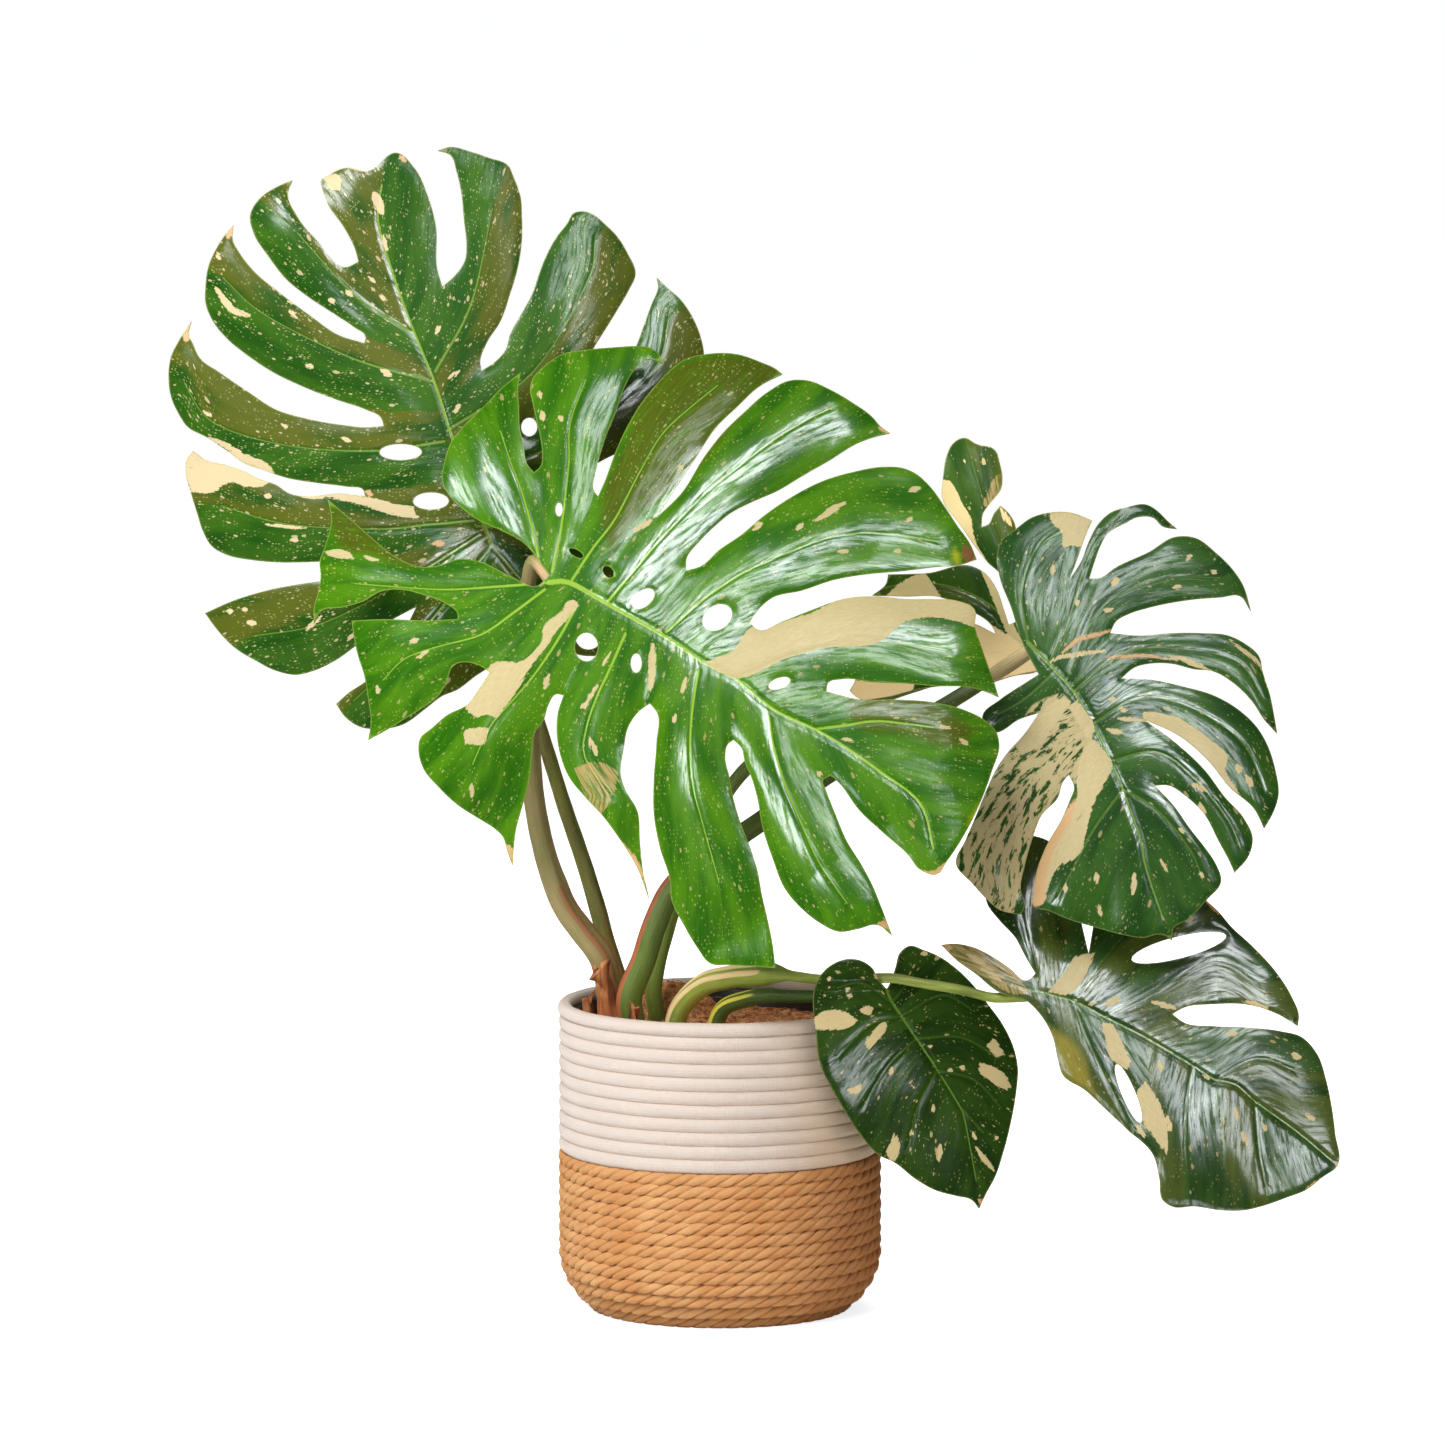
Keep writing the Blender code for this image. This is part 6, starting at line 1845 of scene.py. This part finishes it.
jute_shape = bmesh.new()
for row in range(JUTE_ROWS):
    height = COLOUR_CHANGE - (row + 0.5) * jute_pitch
    middle = basket_radius(height) + ROW_CREST - ROPE_WALL / 2
    half_height = jute_pitch / 2 + ROPE_PRESS
    row_shape = rope_ring(middle, height, ROPE_WALL / 2, half_height, JUTE_SIDES, JUTE_STEPS)
    twist = row_shape.verts.layers.float_vector.new("twist")
    for vertex in row_shape.verts:
        x, y, z = vertex.co / MM
        reach = math.hypot(x, y)
        angle = math.atan2(y, x)
        turn = math.atan2(z - height, reach - middle)
        whole_strands = round(math.tau * middle / STRAND_LENGTH)
        run = (angle + math.pi) / math.tau * whole_strands * STRAND_LENGTH + row * 4.3
        run += noise.noise(Vector((x / 14, y / 14, row * 5.1))) * 2.2
        back = strand_height(run)
        slow = noise.noise(Vector((x / 30, y / 30, z / 5))) * 0.5
        grow = 1 + (STRAND_DEPTH * (back - 0.8) + slow) / (ROPE_WALL / 2)
        reach = middle + (reach - middle) * grow
        z = min(max(height + (z - height) * grow, 0), COLOUR_CHANGE)
        angle += strand_lean(turn) / middle
        vertex.co = Vector((math.cos(angle) * reach, math.sin(angle) * reach, z)) * MM
        vertex[twist] = (back, run + row * ROW_SEED, turn)
    append(jute_shape, row_shape)
bmesh.ops.recalc_face_normals(jute_shape, faces=jute_shape.faces)
jute = add_piece("jute_rope", jute_shape, "basket_jute")
print("the tan rope has", len(jute.data.polygons), "faces")

# %% [markdown]
# The basket's floor
#
# The coil starts in the middle of the floor. Its rings lie side by side and end flat underneath, where the
# basket stands. The turned profile has one rise and one groove for each ring.

# %% Spin the floor
FLOOR_RINGS, COIL_GROOVE = 9, 1.2
floor_reach = basket_radius(0) - ROPE_WALL * 0.35
coil_pitch = floor_reach / FLOOR_RINGS
upper, lower = [], []
for step_number in range(FLOOR_RINGS * 4 + 1):
    reach = step_number * coil_pitch / 4
    rise = abs(math.sin(math.pi * reach / coil_pitch))
    upper.append((reach, FLOOR_THICKNESS - COIL_GROOVE * (1 - rise)))
    lower.append((reach, COIL_GROOVE * (1 - rise) if step_number else 0.0))
floor_profile = upper + lower[::-1]


def spun(profile, steps, closed=False):
    """A turned piece from a profile of (radius, height) in mm. Points on the axis are merged into one."""
    shape = bmesh.new()
    points = [shape.verts.new((reach * MM, 0, height * MM)) for reach, height in profile]
    pairs = list(zip(points, points[1:])) + ([(points[-1], points[0])] if closed else [])
    edges = [shape.edges.new(pair) for pair in pairs]
    bmesh.ops.spin(
        shape, geom=points + edges, cent=(0, 0, 0), axis=(0, 0, 1), angle=math.tau, steps=steps,
        use_merge=True,
    )
    bmesh.ops.remove_doubles(shape, verts=shape.verts, dist=0.01 * MM)
    bmesh.ops.recalc_face_normals(shape, faces=shape.faces)
    return shape


coil_floor = add_piece("coiled_floor", spun(floor_profile, 96), None)
print("floor rings:", FLOOR_RINGS)

# %% [markdown]
# Stray fibres
#
# Dried fibre frays. Many short hairs stand off the tan rope, each a thin three-sided thread with a bend.
# They are what breaks the clean edge of the basket in the photograph.

# %% Loose fibres
FIBRE_COUNT = 150
FIBRE_HALF = 0.13
lucky = random.Random(41)


def thread(place, heading, half, moves):
    """A three-sided thread: a small triangle at a place, drawn out by one move after another."""
    shape = bmesh.new()
    stand = Matrix.Translation(place * MM) @ heading.to_track_quat("Z", "Y").to_matrix().to_4x4()
    made = bmesh.ops.create_circle(shape, segments=3, radius=half * MM, matrix=stand, cap_ends=True)
    edges = list({edge for vertex in made["verts"] for edge in vertex.link_edges})
    for move in moves:
        ring, edges = grow_ring(shape, edges)
        bmesh.ops.translate(shape, verts=ring, vec=move * MM)
    bmesh.ops.contextual_create(shape, geom=edges)
    return shape


def fibre():
    """One hair, drawn out in four steps along a bend that hugs the rope and lifts off."""
    row = lucky.randrange(JUTE_ROWS - 1)
    height = COLOUR_CHANGE - (row + 0.5 + lucky.uniform(-0.35, 0.35)) * jute_pitch
    angle = lucky.uniform(0, math.tau)
    reach = basket_radius(height) + ROW_CREST - 0.6
    place = Vector((math.cos(angle) * reach, math.sin(angle) * reach, height))
    out = Vector((math.cos(angle), math.sin(angle), 0))
    beside = Vector((-math.sin(angle), math.cos(angle), 0))
    heading = (beside * lucky.choice((-1, 1)) + Vector((0, 0, lucky.uniform(-0.9, 0.9)))).normalized()
    length = lucky.uniform(4, 11)
    lift = lucky.uniform(0.08, 0.28)
    rises = (out * lift * length / 4 * (1.6 - 0.7 * number) for number in range(4))
    return thread(place, heading, FIBRE_HALF, [heading * length / 4 + rise for rise in rises])


fibre_shape = bmesh.new()
for _ in range(FIBRE_COUNT):
    append(fibre_shape, fibre())
bmesh.ops.recalc_face_normals(fibre_shape, faces=fibre_shape.faces)
fibres_piece = add_piece("loose_fibres", fibre_shape, None)
print("loose fibres:", FIBRE_COUNT)

# %% [markdown]
# The tan rope's finish
#
# Every strand is a bundle of fibres, so fine lines run along it. Strands differ in tone from straw to amber,
# and the crevices are brown with shade and dust. The twist measured on the mesh tells the material where a
# crevice is and which way the fibres run.

# %% Jute material
jute_skin, tree, shader, here = new_material("twisted_jute")
wound = split(tree, stored(tree, "twist"))
strand_place = add(tree, "ShaderNodeCombineXYZ", wound[1], wound[2]).outputs[0]
threads = long_grain(tree, strand_place, (1.5, 0.5, 1), 4.0, 0.65)
strand_number = figure(tree, "FLOOR", figure(tree, "DIVIDE", wound[1], STRAND_LENGTH))
strand_tone = add(tree, "ShaderNodeTexWhiteNoise", None, strand_number, noise_dimensions="1D")
tone = grain(tree, here, 45.0, 3.0, 0.6)
broad_tone = grain(tree, here, 9.0, 2.0)
tan = mix(tree, step(tree, tone, 0.32, 0.68), srgb(196, 140, 86), srgb(212, 164, 110))
tan = mix(tree, times(tree, strand_tone.outputs["Value"], 0.45), tan, srgb(226, 184, 134))
tan = mix(tree, step(tree, broad_tone, 0.35, 0.65, 0.0, 0.35), tan, srgb(192, 128, 70))
tan = mix(tree, step(tree, threads, 0.35, 0.62, 0.40, 0.0), tan, srgb(168, 112, 62))
# The crevices between strands and the grooves between rows are painted darker brown: painted shade.
tan = mix(tree, step(tree, wound[0], 0.0, 0.55, 0.60, 0.0), tan, srgb(132, 80, 42))
painted_groove_shade = step(tree, figure(tree, "ABSOLUTE", wound[2]), 0.95, 1.45, 0.0, 0.55)
tan = mix(tree, painted_groove_shade, tan, srgb(132, 80, 42))
# The right side of the basket is painted darker and warmer: painted shade, as the light comes from the left.
tan = mix(tree, step(tree, split(tree, here)[0], 0.04, 0.114), tan, (0.72, 0.62, 0.52, 1), "MULTIPLY")
bump(tree, shader, threads, 0.5 * MM)
feed_all(tree, shader.inputs, {"Base Color": tan, "Roughness": 0.85, "Specular IOR Level": 0.25})
jute.data.materials.append(jute_skin)

plain_jute, tree, shader, here = new_material("jute_fibre")
tone = grain(tree, here, 160.0, 3.0)
bump(tree, shader, tone, 0.4 * MM)
straw = mix(tree, tone, srgb(196, 142, 88), srgb(226, 184, 130))
feed_all(tree, shader.inputs, {"Base Color": straw, "Roughness": 0.85})
coil_floor.data.materials.append(plain_jute)
fibres_piece.data.materials.append(plain_jute)
print("the tan rope is finished")

# %% [markdown]
# The nursery pot
#
# A thrown-away pot of thin black plastic, drawn from one sheet in a mould: it tapers, and its lip is rolled
# over for strength. One turned profile with a rounded lip gives it. The wall is 1.6 mm, as in the part.

# %% Spin the pot
POT_WALL, POT_LIP, POT_LIP_HEIGHT = 1.6, 3.5, 8.0
LIP_STEPS = 6
pot_bottom = FLOOR_THICKNESS + GAP
pot_floor = pot_bottom + POT_WALL
lip_middle = (POT_MOUTH_RADIUS + POT_LIP / 2, POT_TOP - POT_LIP / 2)
rolled = []
for number in range(LIP_STEPS + 1):
    turn = math.pi * (1 - number / LIP_STEPS)
    rolled.append((
        lip_middle[0] + POT_LIP / 2 * math.cos(turn), lip_middle[1] + POT_LIP / 2 * math.sin(turn),
    ))
lip_foot = POT_TOP - POT_LIP_HEIGHT
hollow = [(0, pot_floor), (pot_radius(pot_floor) - 2, pot_floor), (pot_radius(pot_floor), pot_floor + 2)]
outer = [
    (POT_MOUTH_RADIUS + POT_LIP, lip_foot + 0.6), (POT_MOUTH_RADIUS + POT_LIP - 0.6, lip_foot),
    (pot_radius(lip_foot) + POT_WALL, lip_foot), (pot_radius(pot_bottom + 2) + POT_WALL, pot_bottom + 2),
    (pot_radius(pot_bottom) + POT_WALL - 2, pot_bottom), (0, pot_bottom),
]
pot = add_piece("pot_shell", spun(hollow + rolled + outer, 128), "nursery_pot")
pot.data.set_sharp_from_angle(angle=math.radians(40))

pot_skin, tree, shader, here = new_material("black_plastic")
scuffs = long_grain(tree, here, (60, 60, 260), 4.0, 0.6)
dust = grain(tree, here, 30.0, 4.0, 0.6)
black = mix(tree, step(tree, dust, 0.45, 0.75, 0.0, 0.5), srgb(24, 24, 26), srgb(70, 58, 48))
feed_all(tree, shader.inputs, {"Base Color": black, "Roughness": step(tree, scuffs, 0.3, 0.7, 0.34, 0.5)})
bump(tree, shader, scuffs, 0.1 * MM)
pot.data.materials.append(pot_skin)
print("the pot's mouth is", 2 * POT_MOUTH_RADIUS, "mm across")

# %% [markdown]
# The potting mix
#
# Coconut fibre and bark, reddish brown, heaped up behind the stalks and level elsewhere. A finely divided
# disc is lifted to the heap's shape and roughened at three sizes. Loose crumbs and shreds lie on it. A bump
# on a flat disc would not do, because the surface is seen almost edge on.

# %% Lift and roughen the soil
HEAP_PLACE = (-35.0, -45.0)
HEAP_PROFILE = [(0, 240.5), (11, 238.5), (21, 233), (31, 224), (42, 210)]
SOIL_RINGS, SOIL_STEPS = 46, 150
soil_radius = pot_radius(SOIL_EDGE) - GAP - 0.3
soil_bottom = pot_floor + GAP


def heap_height(x, forward):
    """The heap behind the stalks, as a height above the floor."""
    reach = math.hypot(x - HEAP_PLACE[0], forward - HEAP_PLACE[1])
    return float(np.interp(reach, *zip(*HEAP_PROFILE)))


def soil_surface(x, forward):
    """The rough surface of the potting mix."""
    height = max(soil_level(x, forward), heap_height(x, forward))
    rough = noise.noise(Vector((x / 11, forward / 11, 3))) * 1.6
    rough += noise.noise(Vector((x / 4.5, forward / 4.5, 8))) * 1.3
    rough += noise.noise(Vector((x / 2, forward / 2, 5))) * 0.6
    return height + rough - 0.4


soil_profile = [(soil_radius * (number / SOIL_RINGS), SOIL_CROWN) for number in range(SOIL_RINGS + 1)]
soil_profile += [(pot_radius(soil_bottom) - GAP - 0.3, soil_bottom), (0, soil_bottom)]
soil_shape = spun(soil_profile, SOIL_STEPS)
for vertex in soil_shape.verts:
    if vertex.co.z > 0.2:
        x, y = vertex.co.x / MM, vertex.co.y / MM
        vertex.co.z = soil_surface(x, -y) * MM
soil = add_piece("potting_mix", soil_shape, "soil")
soil.data.set_sharp_from_angle(angle=math.radians(60))
print("the soil has", len(soil.data.polygons), "faces")

# %% Scatter crumbs and fibres over it
CRUMB_COUNT = 520
SHRED_COUNT, SHRED_HALF = 110, 0.3


def crumb():
    """A chip of bark: a coarse ball, squashed, turned and half sunk."""
    shape = bmesh.new()
    reach, angle = soil_radius * math.sqrt(lucky.random()) * 0.97, lucky.uniform(0, math.tau)
    x, forward = reach * math.cos(angle), reach * math.sin(angle)
    size = lucky.uniform(1.0, 2.9)
    place = Vector((x, -forward, soil_surface(x, forward) + size * 0.15)) * MM
    spin = Matrix.Rotation(lucky.uniform(0, math.tau), 4, "Z")
    spin = spin @ Matrix.Rotation(lucky.uniform(-0.7, 0.7), 4, "X")
    squash = Matrix.Diagonal((1, lucky.uniform(0.45, 0.8), lucky.uniform(0.3, 0.6), 1))
    stand = Matrix.Translation(place) @ spin @ squash
    made = bmesh.ops.create_icosphere(shape, subdivisions=1, radius=size * MM, matrix=stand)["verts"]
    for vertex in made:
        vertex.co += Vector([lucky.uniform(-0.16, 0.16) * size * MM for _ in range(3)])
    return shape


def shred():
    """A shred of coconut fibre, drawn out in three steps over the soil."""
    reach, angle = soil_radius * math.sqrt(lucky.random()) * 0.9, lucky.uniform(0, math.tau)
    x, forward = reach * math.cos(angle), reach * math.sin(angle)
    turn, length = lucky.uniform(0, math.tau), lucky.uniform(6, 17)
    heading = Vector((math.cos(turn), math.sin(turn), 0))
    place = Vector((x, -forward, soil_surface(x, forward) + 0.5))
    moves = []
    for _ in range(3):
        bend = Vector((lucky.uniform(-0.4, 0.4), lucky.uniform(-0.4, 0.4), lucky.uniform(-0.1, 0.35)))
        moves.append((heading + bend) * length / 3)
    return thread(place, heading, SHRED_HALF, moves)


crumb_shape = bmesh.new()
for _ in range(CRUMB_COUNT):
    append(crumb_shape, crumb())
for _ in range(SHRED_COUNT):
    append(crumb_shape, shred())
bmesh.ops.recalc_face_normals(crumb_shape, faces=crumb_shape.faces)
crumbs = add_piece("soil_crumbs", crumb_shape, None, smooth=False)
print("crumbs:", CRUMB_COUNT, "shreds:", SHRED_COUNT)

# %% Soil material
soil_skin, tree, shader, here = new_material("coconut_mix")
chunk = grain(tree, here, 260.0, 5.0, 0.65)
patch = grain(tree, here, 60.0, 3.0, 0.6)
brown = mix(tree, step(tree, patch, 0.35, 0.65), srgb(196, 126, 76), srgb(236, 176, 124))
brown = mix(tree, step(tree, chunk, 0.40, 0.60, 0.75, 0.0), brown, srgb(116, 70, 48))
brown = mix(tree, step(tree, chunk, 0.60, 0.75, 0.0, 0.6), brown, srgb(236, 190, 146))
bump(tree, shader, chunk, 1.0 * MM)
feed_all(tree, shader.inputs, {"Base Color": brown, "Roughness": 0.95, "Specular IOR Level": 0.2})
soil.data.materials.append(soil_skin)
crumbs.data.materials.append(soil_skin)
print("the soil is finished")

# %% [markdown]
# The dried husk
#
# The oldest sheath at the foot of the stalks has died and dried to a stiff brown paper. It curls round the
# stalks, and its top is torn. A grid is curled and its upper edge is frayed, then it is thickened. Two
# smaller scraps stand beside it.

# %% Curl a sheet of dry sheath
HUSK_PIT, HUSK_WIDTH, HUSK_TOP, HUSK_DEPTH, HUSK_PLAY = (-84, 36), 15.0, 268.0, 15.0, 0.5
HUSK_THICKNESS = 1.2


def husk_sheet(place, width, foot, top, lean, curl, turned_by, seed):
    """A strip that curls across its width, narrows, leans and ends in a ragged edge."""
    shape = bmesh.new()
    bmesh.ops.create_grid(shape, x_segments=18, y_segments=34, size=0.5)
    spin = Matrix.Rotation(turned_by, 3, "Z")
    for vertex in shape.verts:
        across, up = vertex.co.x, vertex.co.y + 0.5
        above = max(0.0, up - 0.3) / 0.7
        ragged = 1 - 0.14 * above * (0.5 + noise.noise(Vector((across * 9, seed, 0))))
        wide = width * (1 - 0.42 * above)
        depth = curl * across ** 2 * min(above * 3, 1)
        wrinkle = 0.55 * noise.noise(Vector((across * 7, up * 3, seed))) * min(above * 4, 1)
        shift = Vector((across * wide - lean[0] * above ** 2, depth - lean[1] * above ** 2 + wrinkle, 0))
        height = foot + (top - foot) * up * ragged
        vertex.co = (Vector((place[0], -place[1], height)) + spin @ shift) * MM
    bmesh.ops.recalc_face_normals(shape, faces=shape.faces)
    bmesh.ops.solidify(shape, geom=shape.faces[:], thickness=HUSK_THICKNESS * MM)
    bmesh.ops.recalc_face_normals(shape, faces=shape.faces)
    return shape


husk_foot = SOIL_CROWN - HUSK_DEPTH + HUSK_PLAY
husk_shape = husk_sheet(HUSK_PIT, HUSK_WIDTH, husk_foot, HUSK_TOP, (7, 5), 28, 0.0, 1.0)
sheets = [add_piece("dry_husk", husk_shape, "husk")]
SCRAPS = {
    "husk_scrap_left": ((-97, 22), 12, 210, 240, (3, 2), 14, 0.5, 4.0),
    "husk_scrap_right": ((-66, 58), 10, 210, 238, (-4, 3), 12, -0.35, 7.0),
}
for name, sizes in SCRAPS.items():
    sheets.append(add_piece(name, husk_sheet(*sizes), None))

husk_skin, tree, shader, here = new_material("dry_sheath_skin")
fibre_lines = long_grain(tree, here, (420, 420, 40), 3.0, 0.6)
stain = grain(tree, here, 70.0, 3.0)
rust = mix(tree, step(tree, stain, 0.35, 0.65), srgb(176, 102, 54), srgb(218, 148, 90))
rust = mix(tree, step(tree, fibre_lines, 0.35, 0.65, 0.6, 0.0), rust, srgb(104, 56, 34))
bump(tree, shader, fibre_lines, 0.8 * MM)
feed_all(tree, shader.inputs, {"Base Color": rust, "Roughness": 0.8})
for sheet in sheets:
    sheet.data.materials.append(husk_skin)
print("husk sheets:", len(sheets))

# %% [markdown]
# The view transform
#
# The render uses the Standard view transform. The fine pieces must not grow past the part that they stand
# in for, or it would no longer fit its place.

# %% Set the view transform
bpy.context.scene.view_settings.view_transform = "Standard"
